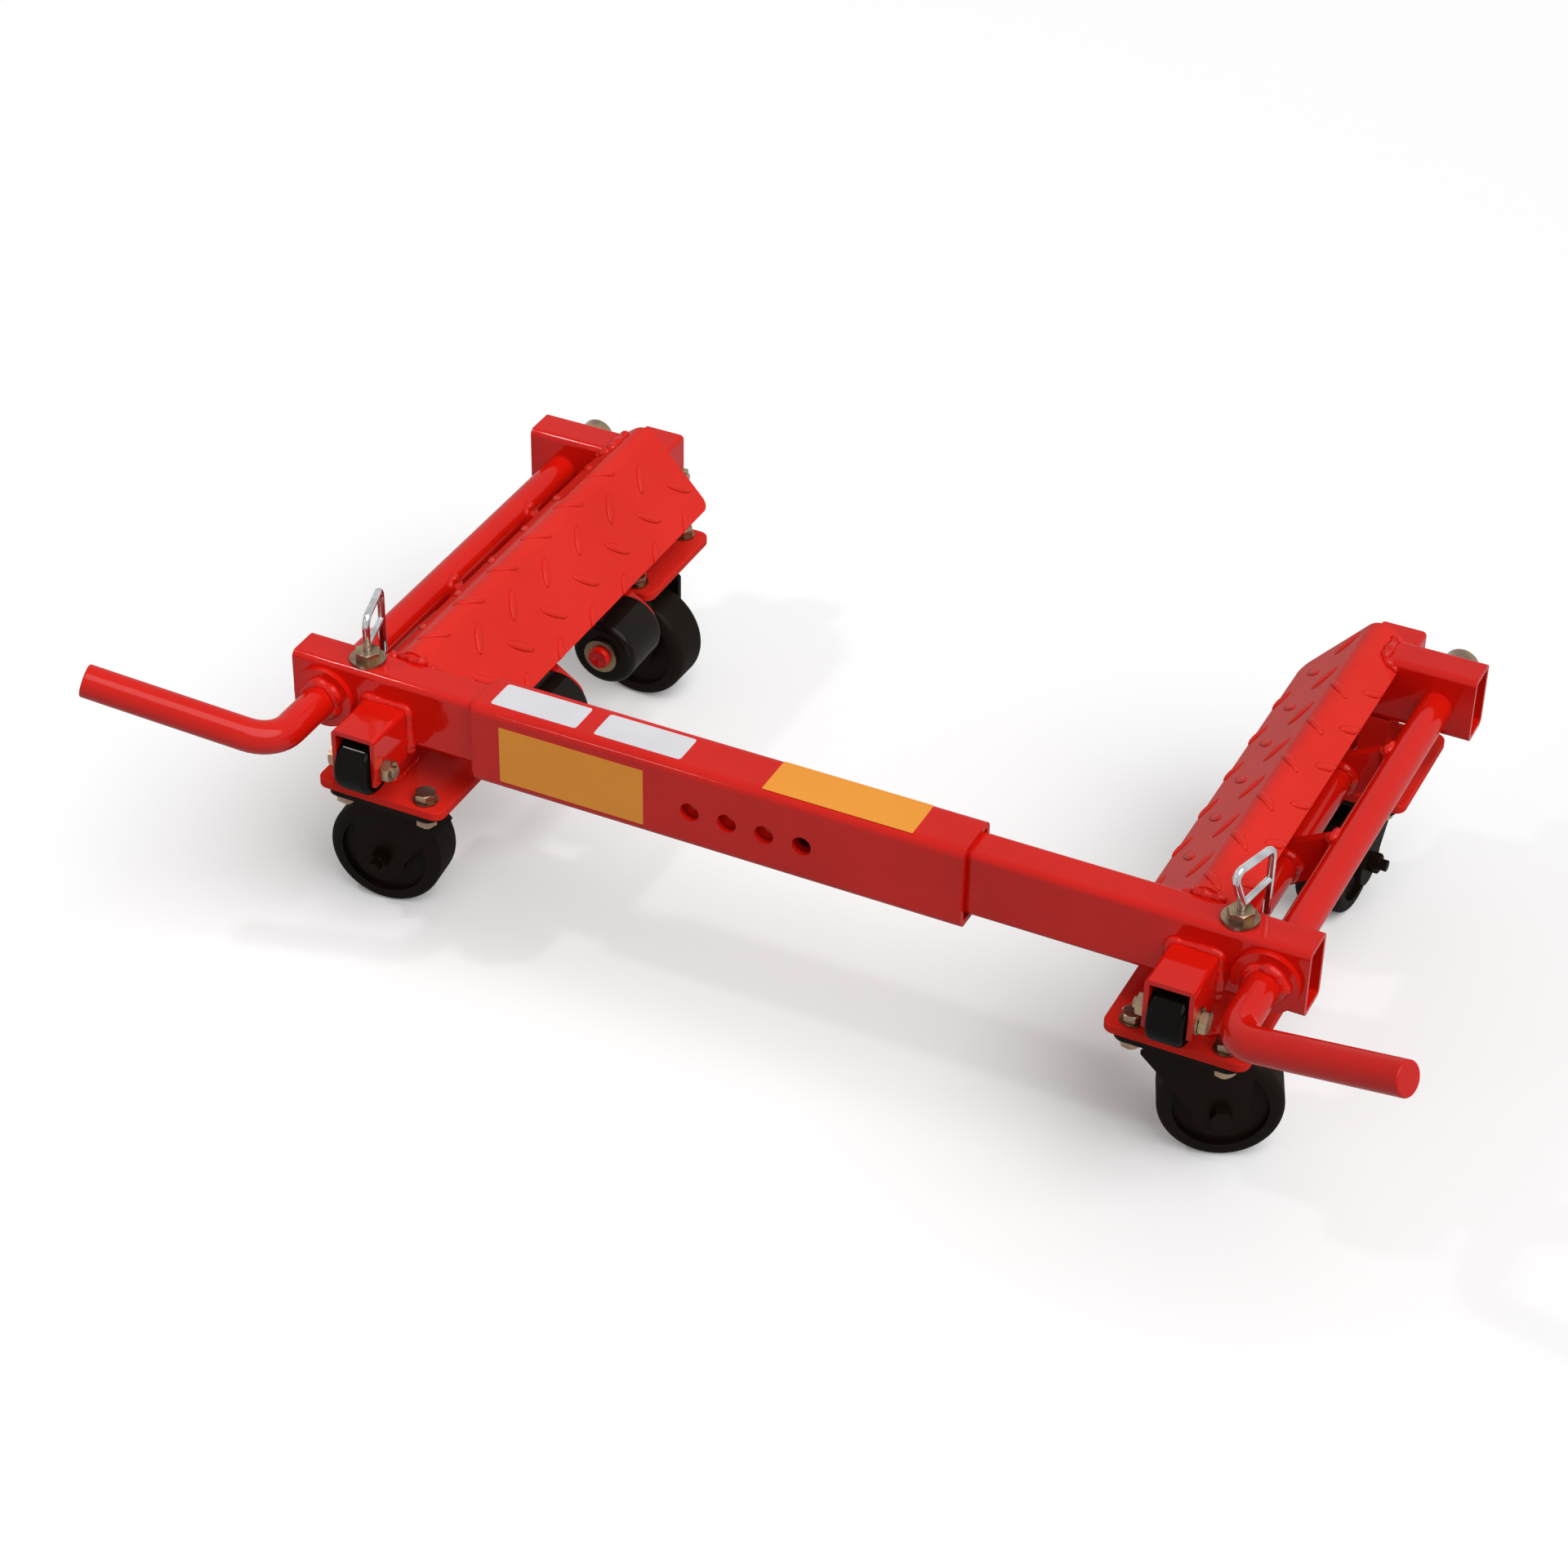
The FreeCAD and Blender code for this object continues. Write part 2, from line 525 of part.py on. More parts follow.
def tread_and_rear_tube():
    """A bent tread plate on each carriage and the rear tube whose end is cut to the plate's slope."""
    turn = FreeCAD.Rotation(FreeCAD.Vector(0, 1, 0), -value("tread_slope"))
    lean, drop = "sin(tread_open * 1 deg)", "cos(tread_open * 1 deg)"
    flange_x, flange_z = f"tread_flange * {lean}", f"-tread_flange * {drop}"
    inner_corner = f"-tread_plate * (1 - {lean}) / {drop}"
    corners = [("0", "0"), (flange_x, flange_z),
               (f"{flange_x} - tread_plate * {drop}", f"{flange_z} - tread_plate * {lean}"),
               (inner_corner, "-tread_plate"), ("-tread_face", "-tread_plate"), ("-tread_face", "0")]
    length = f"{REAR_FACE} + tread_overhang - {TUBE_BACK}"
    plate = prism("tread_strip", "XZ_Plane", corners, length)
    along = FreeCAD.Vector(0, 1, 0)
    bend = value("tread_plate")

    def at(x, z):
        return lambda edge: (runs_along(edge, along) and abs(edge.Vertexes[0].X - x) < SAME_PLACE
                             and abs(edge.Vertexes[0].Z - z) < SAME_PLACE)

    rounded(plate, "tread_bend", at(value(inner_corner), -bend))
    rounded(plate, "tread_bend + tread_plate", at(0, 0))
    rounded(plate, "tread_tip", lambda edge: edge.Vertexes[0].X < -value("tread_face") + SAME_PLACE
            and abs(edge.CenterOfMass.y) < SAME_PLACE and edge.Length < bend + SAME_PLACE)
    crest_z = "beam_axis_height + tread_crest_rise"
    place(plate, "tread_crest_x", f"{REAR_FACE} + tread_overhang", crest_z, turn)

    tube = hollow_bar("rear_tube", "tube_depth", "tube_height", "tube_wall", "tube_corner",
                      "half_span - rear_tube_inner", "rear_tube_inner", "beam_axis_height", "rear_spacing")
    above = [("tread_face", "-tread_plate"), ("tread_face", "2 * tread_face"),
             ("-3 * tread_face", "2 * tread_face"), ("-3 * tread_face", "-tread_plate")]
    slope = prism("slope_cut", "XZ_Plane", above, "tube_depth + 2 * cut_overrun")
    place(slope, "tread_crest_x", f"{REAR_FACE} + cut_overrun", crest_z, turn)
    tube = cut("rear_tube_sloped", tube, slope, lever_hole("rear_bore", "pivot_x", "rear_spacing"))
    stub = bar_section("rear_tube_block", "tube_depth", "tube_height", "tube_corner",
                       "half_span - rear_tube_inner", "rear_tube_inner", "beam_axis_height")
    place(stub, "rear_tube_inner", "rear_spacing", "beam_axis_height")
    side_slope = cut("rear_tube_room", stub, copy("slope_copy", slope))
    tread = cut("tread_plate", plate, side_slope)
    node("tread_plate_right", tread)
    node("tread_plate_left", to_left("tread_plate_mirror", tread))
    node("rear_tube_right", tube)
    node("rear_tube_left", to_left("rear_tube_mirror", tube))


def bolt_places():
    """The four caster bolts of a mount, as formulas."""
    for side in "-+":
        for end in "-+":
            yield f"{side} bolt_pitch_x / 2", f"{end} bolt_pitch_y / 2"


def on_four_mounts(label, shape):
    """Puts a piece of the front right mount on all four."""
    rear = to_rear(label + "_to_rear", shape)
    node(label + "_front_right", shape)
    node(label + "_rear_right", rear)
    node(label + "_front_left", to_left(label + "_front_mirror", shape))
    node(label + "_rear_left", to_left(label + "_rear_mirror", rear))
    return rear


def caster_mounts():
    """Mount plates with their risers, and the bolts that hold the casters."""
    plate = prism("mount_sheet", "XY_Plane", rectangle("mount_size", "mount_size"), "mount_plate")
    rounded(plate, "mount_corner", lambda edge: runs_along(edge, FreeCAD.Vector(0, 0, 1)))
    rounded(plate, "plate_edge", lambda edge: edge.BoundBox.ZLength < SAME_PLACE)
    place(plate, "mount_x", "mount_in", "mount_height")
    riser_height = f"{TUBE_BOTTOM} - {MOUNT_TOP}"
    riser_start = "mount_x + riser_out - riser_length / 2"
    riser = cut("riser", block("riser_outside", "riser_length", "tube_depth", riser_height,
                               riser_start, TUBE_FRONT, MOUNT_TOP),
                block("riser_inside", "riser_length - 2 * riser_wall", "tube_depth - 2 * riser_wall",
                      riser_height, f"{riser_start} + riser_wall", f"{TUBE_FRONT} + riser_wall", MOUNT_TOP))
    holes = [rod(f"mount_hole_{index}", "bolt_dia + 2 * bolt_hole_gap", "mount_plate + 2 * cut_overrun",
                 f"mount_x {x}", f"mount_in {y}", "mount_height - cut_overrun")
             for index, (x, y) in enumerate(bolt_places())]
    on_four_mounts("caster_mount", cut("mount", fuse("mount_welded", plate, riser), *holes))

    shank = "mount_plate + caster_plate + bolt_nut + bolt_tail + bolt_washer"
    bolt = fuse("bolt", rod("bolt_shank", "bolt_dia", shank, z=f"{MOUNT_TOP} + bolt_washer - ({shank})"),
                rod("bolt_collar", "bolt_washer_dia", "bolt_washer", z=MOUNT_TOP),
                hexagon("bolt_hex", "bolt_head_dia", "bolt_head", z=f"{MOUNT_TOP} + bolt_washer"))
    nut_z = "mount_height - caster_plate - bolt_nut"
    nut = cut("nut", hexagon("nut_hex", "bolt_head_dia", "bolt_nut", z=nut_z),
              rod("nut_bore", "bolt_dia", "bolt_nut + 2 * cut_overrun", z=f"{nut_z} - cut_overrun"))
    placed = []
    for index, (x, y) in enumerate(bolt_places()):
        for source in (bolt, nut):
            placed.append(copy(f"{source.Name}_{index}", source, f"mount_x {x}", f"mount_in {y}"))
    front = group("front_bolts", *placed)
    both = group("carriage_bolts", front, to_rear("rear_bolts", front))
    node("caster_bolts_right", both)
    node("caster_bolts_left", to_left("bolts_mirror", both))


def casters():
    """Swivel casters: a fixed top with its kingpin, a turning fork, a wheel and its axle."""
    plate = prism("caster_sheet", "XY_Plane", rectangle("caster_plate_x", "caster_plate_y"), "caster_plate")
    rounded(plate, "mount_corner", lambda edge: runs_along(edge, FreeCAD.Vector(0, 0, 1)))
    place(plate, z="mount_height - caster_plate")
    head_z = f"{CROWN_BOTTOM} - swivel_gap - kingpin_head"
    top = fuse("caster_top", plate,
               rod("race", "race_dia", "race_height", z="mount_height - caster_plate - race_height"),
               rod("kingpin", "kingpin_dia", f"mount_height - caster_plate - ({head_z})", z=head_z),
               rod("kingpin_end", "kingpin_head_dia", "kingpin_head", z=head_z))
    holes = [rod(f"caster_hole_{index}", "bolt_dia + 2 * bolt_hole_gap", "caster_plate + 2 * cut_overrun",
                 x.replace(" ", ""), y.replace(" ", ""), "mount_height - caster_plate - cut_overrun")
             for index, (x, y) in enumerate(bolt_places())]
    on_four_mounts("caster_top", copy("caster_top_placed", cut("caster_top_drilled", top, *holes),
                                      "mount_x", "mount_in"))

    crown = cut("crown", rod("crown_disc", "fork_dia", "fork_crown", z=CROWN_BOTTOM),
                rod("crown_bore", "kingpin_dia + 2 * running_gap", "fork_crown + 2 * cut_overrun",
                    z=f"{CROWN_BOTTOM} - cut_overrun"))
    shoulder_z = f"{CROWN_TOP} - fork_shoulder_drop"
    leg_points = [("-fork_leg_width / 2", CROWN_TOP), ("fork_leg_width / 2", CROWN_TOP),
                  ("fork_shoulder / 2", shoulder_z), ("caster_trail + fork_foot", WHEEL_AXLE_Z),
                  ("caster_trail - fork_foot", WHEEL_AXLE_Z), ("-fork_shoulder / 2", shoulder_z)]
    legs = []
    for side, start in (("near", f"-{FORK_HALF}"), ("far", FORK_OUTSIDE)):
        leg = place(prism(f"leg_{side}", "XZ_Plane", leg_points, "fork_leg"), y=start)
        foot = rod(f"foot_{side}", "2 * fork_foot", "fork_leg", "caster_trail", f"{start} - fork_leg",
                   WHEEL_AXLE_Z, ALONG_Y)
        legs += [leg, foot]
    axle_bore = rod("fork_axle_bore", "caster_axle_dia", f"2 * {FORK_OUTSIDE} + 2 * cut_overrun",
                    "caster_trail", f"-{FORK_OUTSIDE} - cut_overrun", WHEEL_AXLE_Z, ALONG_Y)
    room = rod("kingpin_room", "kingpin_dia + 2 * running_gap", "fork_crown + 2 * cut_overrun",
               z=f"{CROWN_BOTTOM} - cut_overrun")
    fork = cut("fork", fuse("fork_welded", crown, *legs), axle_bore, room)

    rim, hub, edge = "wheel_rim_dia / 2", "wheel_hub_dia / 2", "wheel_width / 2"
    dish, bore = f"{edge} - wheel_recess", "caster_axle_dia / 2 + running_gap"
    section = [(bore, f"-({edge})"), (hub, f"-({edge})"), (hub, f"-({dish})"), (rim, f"-({dish})"),
               (rim, f"-({edge})"), ("wheel_dia / 2", f"-({edge})"), ("wheel_dia / 2", edge), (rim, edge),
               (rim, dish), (hub, dish), (hub, edge), (bore, edge)]
    wheel = rounded(turned("wheel", section), "wheel_edge", lambda one: is_rim(one, value("wheel_dia / 2")))
    wheel = copy("wheel_placed", wheel, "caster_trail", z=WHEEL_AXLE_Z, turn=ALONG_Y)
    pin_length = f"2 * {FORK_OUTSIDE} + caster_nut + caster_axle_tail"
    axle = fuse("caster_axle", rod("axle_pin", "caster_axle_dia", pin_length, "caster_trail", f"-{FORK_OUTSIDE}",
                                   WHEEL_AXLE_Z, ALONG_Y),
                hexagon("axle_head", "caster_nut_dia", "caster_nut", "caster_trail",
                        f"-{FORK_OUTSIDE} - caster_nut", WHEEL_AXLE_Z, ALONG_Y),
                hexagon("axle_nut", "caster_nut_dia", "caster_nut", "caster_trail", FORK_OUTSIDE,
                        WHEEL_AXLE_Z, ALONG_Y))
    for end, y in (("front", "mount_in"), ("rear", "rear_spacing - mount_in")):
        for side, x in (("left", "-mount_x"), ("right", "mount_x")):
            spin = FreeCAD.Rotation(FreeCAD.Vector(0, 0, 1), value(f"swivel_{end}_{side}"))
            for label, shape in (("fork", fork), ("wheel", wheel), ("axle", axle)):
                node(f"caster_{label}_{end}_{side}", shape, x, y, turn=spin)


def small_rollers():
    """U-brackets on the tubes' outer faces, each with a roller on a bolt."""
    deep = f"bracket_reach + {TUBE_FRONT}"
    shell = prism("bracket_block", "YZ_Plane",
                  [("-bracket_reach", "-bracket_height"), (TUBE_FRONT, "-bracket_height"), (TUBE_FRONT, "0"),
                   ("-bracket_reach", "0")], "bracket_width")
    rounded(shell, "bracket_corner", lambda edge: runs_along(edge, FreeCAD.Vector(0, 1, 0))
            and abs(edge.CenterOfMass.z) < SAME_PLACE)
    place(shell, "bracket_x - bracket_width / 2", "0", "beam_axis_height + bracket_top")
    bottom = "beam_axis_height + bracket_top - bracket_height"
    inner = "bracket_x - bracket_width / 2"
    outer = "bracket_x + bracket_width / 2"
    room = block("bracket_room", "bracket_width - 2 * bracket_wall", f"{deep} + 2 * cut_overrun",
                 "bracket_height - bracket_wall + cut_overrun", f"{inner} + bracket_wall",
                 "-bracket_reach - cut_overrun", f"{bottom} - cut_overrun")
    hole = rod("bracket_hole", "small_axle_dia", "bracket_width + 2 * cut_overrun",
               f"{inner} - cut_overrun", "-small_axle_reach", SMALL_AXLE_Z, ALONG_X)
    on_four_mounts("roller_bracket", cut("bracket", shell, room, hole))

    half, bore = "small_roller_width / 2", "small_axle_dia / 2 + running_gap"
    section = [(bore, f"-({half})"), ("small_roller_dia / 2", f"-({half})"), ("small_roller_dia / 2", half),
               (bore, half)]
    roller = rounded(turned("small_roller", section), "small_roller_edge",
                     lambda one: is_rim(one, value("small_roller_dia / 2")))
    on_four_mounts("small_roller", copy("small_roller_placed", roller, "bracket_x", "-small_axle_reach",
                                        SMALL_AXLE_Z, ALONG_X))

    nut_x = f"{inner} - small_bolt_nut"
    at = ("-small_axle_reach", SMALL_AXLE_Z, ALONG_X)
    bolt = fuse("small_bolt",
                rod("small_shank", "small_axle_dia", f"{outer} - ({nut_x}) + small_bolt_tail",
                    f"{nut_x} - small_bolt_tail", *at),
                rod("small_collar", "small_bolt_washer_dia", "small_bolt_washer", outer, *at),
                hexagon("small_hex", "small_bolt_head_dia", "small_bolt_head", f"{outer} + small_bolt_washer",
                        *at))
    nut = cut("small_nut", hexagon("small_nut_hex", "small_bolt_head_dia", "small_bolt_nut", nut_x, *at),
              rod("small_nut_bore", "small_axle_dia", "small_bolt_nut + 2 * cut_overrun",
                  f"{nut_x} - cut_overrun", *at))
    front = group("small_bolts_front", bolt, nut)
    both = group("small_bolts_carriage", front, to_rear("small_bolts_rear", front))
    node("roller_bolts_right", both)
    node("roller_bolts_left", to_left("small_bolts_mirror", both))


def lever_bar(side, rise):
    """A lever bar of the right carriage: straight shaft, flange, bend and raised outward handle."""
    front = "handle_start"
    up = FreeCAD.Rotation(FreeCAD.Vector(0, 1, 0), -value(rise))
    across, above = f"cos({rise} * 1 deg)", f"sin({rise} * 1 deg)"
    shoulder = f"{REAR_FACE} + swivel_gap"
    shaft = rod(f"shaft_{side}", "lever_dia", f"{shoulder} + {front}", "pivot_x", f"-({front})", PIVOT_Z,
                ALONG_Y)
    neck = rod(f"neck_{side}", "tail_neck_dia", "tail_length + tail_end", "pivot_x", shoulder, PIVOT_Z,
               ALONG_Y)
    bend = doc.addObject("Part::Torus", f"bend_{side}")
    bind(bend, Radius1="handle_bend", Radius2="lever_dia / 2")
    bind(bend, Angle3="handle_turn * 1 deg")
    place(bend, f"pivot_x + handle_bend * {across}", f"-({front})", f"{PIVOT_Z} + handle_bend * {above}",
          up * HALF_TURN)
    radius = "lever_dia / 2"
    grip = turned(f"grip_{side}", [("0", "0"), (radius, "0"), (radius, "handle_length"),
                                   ("0", "handle_length")])
    rounded(grip, "handle_edge", lambda one: is_rim(one, value("lever_dia / 2"))
            and one.Curve.Center.z > SAME_PLACE)
    bent = "handle_bend * (1 - cos(handle_turn * 1 deg))"
    forwards = FreeCAD.Rotation(FreeCAD.Vector(0, 0, 1), value("handle_turn - 90"))
    place(grip, f"pivot_x + {bent} * {across}", f"-({front} + handle_bend * sin(handle_turn * 1 deg))",
          f"{PIVOT_Z} + {bent} * {above}", up * forwards * ALONG_X)
    flange = rod(f"flange_{side}", "flange_dia", "flange_plate", "pivot_x",
                 f"{TUBE_FRONT} - swivel_gap - flange_plate", PIVOT_Z, ALONG_Y)
    return fuse(f"lever_{side}", shaft, neck, bend, grip, flange)


def levers():
    """Lever bars, their tail collars, and the arms, tie bar and rollers that swing with them."""
    node("lever_bar_right", lever_bar("right", "handle_rise_right"))
    node("lever_bar_left", to_left("lever_mirror", lever_bar("left", "handle_rise_left")))
    tail_y = f"{REAR_FACE} + swivel_gap"
    neck, outside = "tail_neck_dia / 2", "tail_dia / 2"
    ring = turned("tail_ring", [(neck, "0"), (outside, "0"), (outside, "tail_length"), (neck, "tail_length")])
    rounded(ring, "tail_edge", lambda one: is_rim(one, value("tail_dia / 2"))
            and one.Curve.Center.z > SAME_PLACE)
    tail = copy("tail_collar", ring, "pivot_x", tail_y, PIVOT_Z, ALONG_Y)
    node("tail_collar_right", tail)
    node("tail_collar_left", to_left("tail_mirror", tail))

    # The swinging pieces are drawn with the arm along -X from the bar, and are then turned down to its slope.
    turn = FreeCAD.Rotation(FreeCAD.Vector(0, 1, 0), -value("lift_angle"))
    foot = rod("arm_foot", "arm_width", "arm_plate", "-lift_arm", "arm_from_mid", turn=ALONG_Y)
    web = prism("arm_web", "XZ_Plane",
                [("0", "-arm_root / 2"), ("0", "arm_root / 2"), ("-tie_arm", "arm_width / 2"),
                 ("-lift_arm", "arm_width / 2"), ("-lift_arm", "-arm_width / 2"),
                 ("-tie_arm", "-arm_width / 2")], "arm_plate")
    place(web, y="arm_from_mid + arm_plate")
    axle_length = "2 * lift_side_gap + lift_roller_width + lift_washer + lift_axle_end"
    radius = "lift_axle_dia / 2"
    stub = turned("lift_axle", [("0", "0"), (radius, "0"), (radius, axle_length),
                                ("lift_axle_dimple_dia / 2", axle_length),
                                ("0", f"{axle_length} - lift_axle_dimple")])
    rounded(stub, "lift_axle_round",
            lambda one: is_rim(one, value(radius)) and one.Curve.Center.z > SAME_PLACE)
    toward_mid = FreeCAD.Rotation(FreeCAD.Vector(1, 0, 0), 90)
    place(stub, "-lift_arm", "arm_from_mid", turn=toward_mid)
    bar_bore = rod("arm_bar_bore", "lever_dia", "arm_plate + 2 * cut_overrun", y="arm_from_mid - cut_overrun",
                   turn=ALONG_Y)
    tie_bore = rod("arm_tie_bore", "tie_dia", "arm_plate + 2 * cut_overrun", "-tie_arm",
                   "arm_from_mid - cut_overrun", turn=ALONG_Y)
    rear_arm = cut("arm", fuse("arm_welded", foot, web, stub), bar_bore, tie_bore)
    washer_y = f"{LIFT_ROLLER_INNER} - lift_side_gap - lift_washer"
    washer = cut("lift_washer_ring",
                 rod("lift_washer_disc", "lift_washer_dia", "lift_washer", "-lift_arm", washer_y,
                     turn=ALONG_Y),
                 rod("lift_washer_bore", "lift_axle_dia", "lift_washer + 2 * cut_overrun", "-lift_arm",
                     f"{washer_y} - cut_overrun", turn=ALONG_Y))
    half, bore = "lift_roller_width / 2", "lift_axle_dia / 2 + running_gap"
    section = [(bore, f"-({half})"), ("lift_roller_dia / 2", f"-({half})"), ("lift_roller_dia / 2", half),
               (bore, half)]
    roller = rounded(turned("lift_roller", section), "lift_roller_edge",
                     lambda one: is_rim(one, value("lift_roller_dia / 2")))
    roller = copy("lift_roller_placed", roller, "-lift_arm", f"{LIFT_ROLLER_INNER} + lift_roller_width / 2",
                  turn=ALONG_Y)
    tie = rod("tie", "tie_dia", "tie_length", "-tie_arm", "-(arm_from_mid + arm_plate + tie_end)",
              turn=ALONG_Y)

    def swung(name, shape):
        return copy(name + "_swung", shape, "pivot_x", CARRIAGE_MID, PIVOT_Z, turn)

    for label, shape in (("lift_arm", swung("arm", rear_arm)), ("lift_roller", swung("lift_roller", roller))):
        front = copy(label + "_front", shape, y="-lift_pitch")
        node(label + "_rear_right", shape)
        node(label + "_front_right", front)
        node(label + "_rear_left", to_left(label + "_rear_mirror", shape))
        node(label + "_front_left", to_left(label + "_front_mirror", front))
    tie = swung("tie", tie)
    node("tie_bar_right", tie)
    node("tie_bar_left", to_left("tie_mirror", tie))
    washer = swung("lift_washer", washer)
    pair = group("lift_washer_pair", washer, copy("lift_washer_front", washer, y="-lift_pitch"))
    node("lift_washers_right", pair)
    node("lift_washers_left", to_left("lift_washer_mirror", pair))


def bent_wire(points, bend, radius):
    """A round wire along straight runs that are joined by arcs of one radius."""
    edges = []
    start = points[0]
    for before, corner, after in zip(points, points[1:], points[2:]):
        back, ahead = (before - corner).normalize(), (after - corner).normalize()
        half_angle = back.getAngle(ahead) / 2
        inset = bend / math.tan(half_angle)
        into, out = corner + back * inset, corner + ahead * inset
        middle_way = (back + ahead).normalize()
        centre = corner + middle_way * (bend / math.sin(half_angle))
        middle = centre - middle_way * bend
        edges += [Part.LineSegment(start, into).toShape(), Part.Arc(into, middle, out).toShape()]
        start = out
    edges.append(Part.LineSegment(start, points[-1]).toShape())
    path = Part.Wire(edges)
    ring = Part.Wire(Part.makeCircle(radius, points[0], points[1] - points[0]))
    return path.makePipeShell([ring], True, False)


def pull_rings():
    """The chrome pull rings and the flange nuts that guide them."""
    size = {alias: sheet.get(alias) for alias, number, note in SIZES}
    top = value(TUBE_TOP)
    radius = size["ring_wire"] / 2
    ring_x = value("ring_x")
    stop_top = top - size["tube_wall"] - size["ring_lift"] - size["swivel_gap"]
    foot = FreeCAD.Vector(ring_x, 0, stop_top - size["ring_stop"])
    neck = FreeCAD.Vector(ring_x, 0, top + size["ring_neck"])
    front = FreeCAD.Vector(ring_x - size["ring_lean_x"], -size["ring_lean_y"], top + size["ring_rise"])
    rear = FreeCAD.Vector(ring_x + size["ring_rear_x"], size["ring_rear_y"], top + size["ring_rise"])
    tip = FreeCAD.Vector(rear.x, rear.y, top - size["ring_tip_drop"])
    wire = bent_wire([foot, neck, front, rear, tip], size["ring_bend"], radius)
    low = FreeCAD.Vector(rear.x, rear.y, top + size["ring_brace_rise"])
    start = FreeCAD.Vector(ring_x, 0, top + size["ring_brace_foot"])
    brace = Part.makeCylinder(size["ring_brace_wire"] / 2, (low - start).Length, start, low - start)
    collar = Part.makeCylinder(size["ring_stop_dia"] / 2, size["ring_stop"], foot)
    ring = doc.addObject("Part::Feature", "pull_ring")
    ring.Shape = wire.fuse(collar).fuse(brace)
    node("pull_ring_right", ring)
    node("pull_ring_left", to_left("pull_ring_mirror", ring))

    foot_ring = rod("guide_flange", "ring_nut_flange_dia", "ring_nut_flange", "ring_x", z=TUBE_TOP)
    nut = cut("guide_nut", fuse("guide_nut_body", foot_ring,
                                hexagon("guide_hex", "ring_nut_dia", "ring_nut", "ring_x", z=TUBE_TOP)),
              rod("guide_bore", "ring_wire + 2 * ring_gap", "ring_nut + 2 * cut_overrun", "ring_x",
                  z=f"{TUBE_TOP} - cut_overrun"))
    node("guide_nut_right", nut)
    node("guide_nut_left", to_left("guide_nut_mirror", nut))


def check_and_write():
    """Stops on any failed object, then writes one file for each node."""
    doc.recompute()
    failed = [one.Name for one in doc.Objects if {"Invalid", "Error"} & set(one.State)]
    for label, obj in nodes.items():
        if obj.Shape.isNull() or not obj.Shape.isValid() or not obj.Shape.Solids:
            failed.append(label)
    if failed:
        raise RuntimeError("these objects failed: " + ", ".join(failed))
    os.makedirs("parts", exist_ok=True)
    for label, obj in nodes.items():
        solids = obj.Shape.Solids
        shape = solids[0] if len(solids) == 1 else Part.makeCompound(solids)
        shape.exportStep(f"parts/{label}.step")
    print(len(nodes), "nodes written")


front_beam()
tread_and_rear_tube()
caster_mounts()
casters()
small_rollers()
levers()
pull_rings()
check_and_write()
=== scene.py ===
"""Looks of a lever wheel dolly: enamel, plating, moulded finishes, raised tread lugs, weld beads and labels.

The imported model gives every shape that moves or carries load. This file adds what is stamped, welded or stuck
on it, and gives each node its finish. Lengths are in metres, in the model's own frame: X along the beam,
Y from the beam to the open rear, Z up from the floor.
"""
import json
import math

import bmesh
import bpy
import numpy as np
from bpy.props import FloatProperty, FloatVectorProperty
from mathutils import Matrix, Vector


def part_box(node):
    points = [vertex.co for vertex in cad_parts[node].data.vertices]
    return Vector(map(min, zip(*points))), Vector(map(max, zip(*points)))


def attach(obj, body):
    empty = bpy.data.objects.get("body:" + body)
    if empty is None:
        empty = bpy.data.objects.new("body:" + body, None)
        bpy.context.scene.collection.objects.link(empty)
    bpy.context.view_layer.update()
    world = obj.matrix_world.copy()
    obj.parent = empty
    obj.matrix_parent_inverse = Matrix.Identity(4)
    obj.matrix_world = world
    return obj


bl_info = {
    "name": "Lever Wheel Dolly",
    "version": (1, 0, 0),
    "blender": (4, 5, 0),
    "location": "View3D > Sidebar > Wheel Dolly",
    "description": "Gives a packed lever wheel dolly its paint, plating, tread lugs, weld beads and labels",
    "category": "Add Mesh",
}

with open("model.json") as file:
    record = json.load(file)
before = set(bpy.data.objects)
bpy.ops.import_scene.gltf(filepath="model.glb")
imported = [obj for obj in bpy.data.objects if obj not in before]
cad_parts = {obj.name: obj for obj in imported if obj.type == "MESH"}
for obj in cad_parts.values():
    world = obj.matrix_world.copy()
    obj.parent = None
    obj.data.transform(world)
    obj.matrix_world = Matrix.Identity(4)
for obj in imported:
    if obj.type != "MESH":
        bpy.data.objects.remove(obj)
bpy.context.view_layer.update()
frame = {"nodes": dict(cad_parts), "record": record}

# The two carriages: which way is outwards, and the body that carries the fixed pieces of each.
SIDES = {"left": (-1, "base"), "right": (1, "right_carriage")}
ENDS = ("front", "rear")


def middle(node):
    """The middle of a node's box."""
    low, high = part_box(node)
    return (low + high) / 2


def extent(node):
    """The size of a node's box."""
    low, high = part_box(node)
    return high - low


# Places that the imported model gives.
MIDDLE_X = (middle("tail_collar_left").x + middle("tail_collar_right").x) / 2
FRONT_Y = middle("front_tube_left").y
REAR_Y = middle("rear_tube_left").y
AXIS_Z = middle("front_tube_left").z
TUBE_HALF_DEPTH = extent("front_tube_left").y / 2
TUBE_HALF_HEIGHT = extent("front_tube_left").z / 2

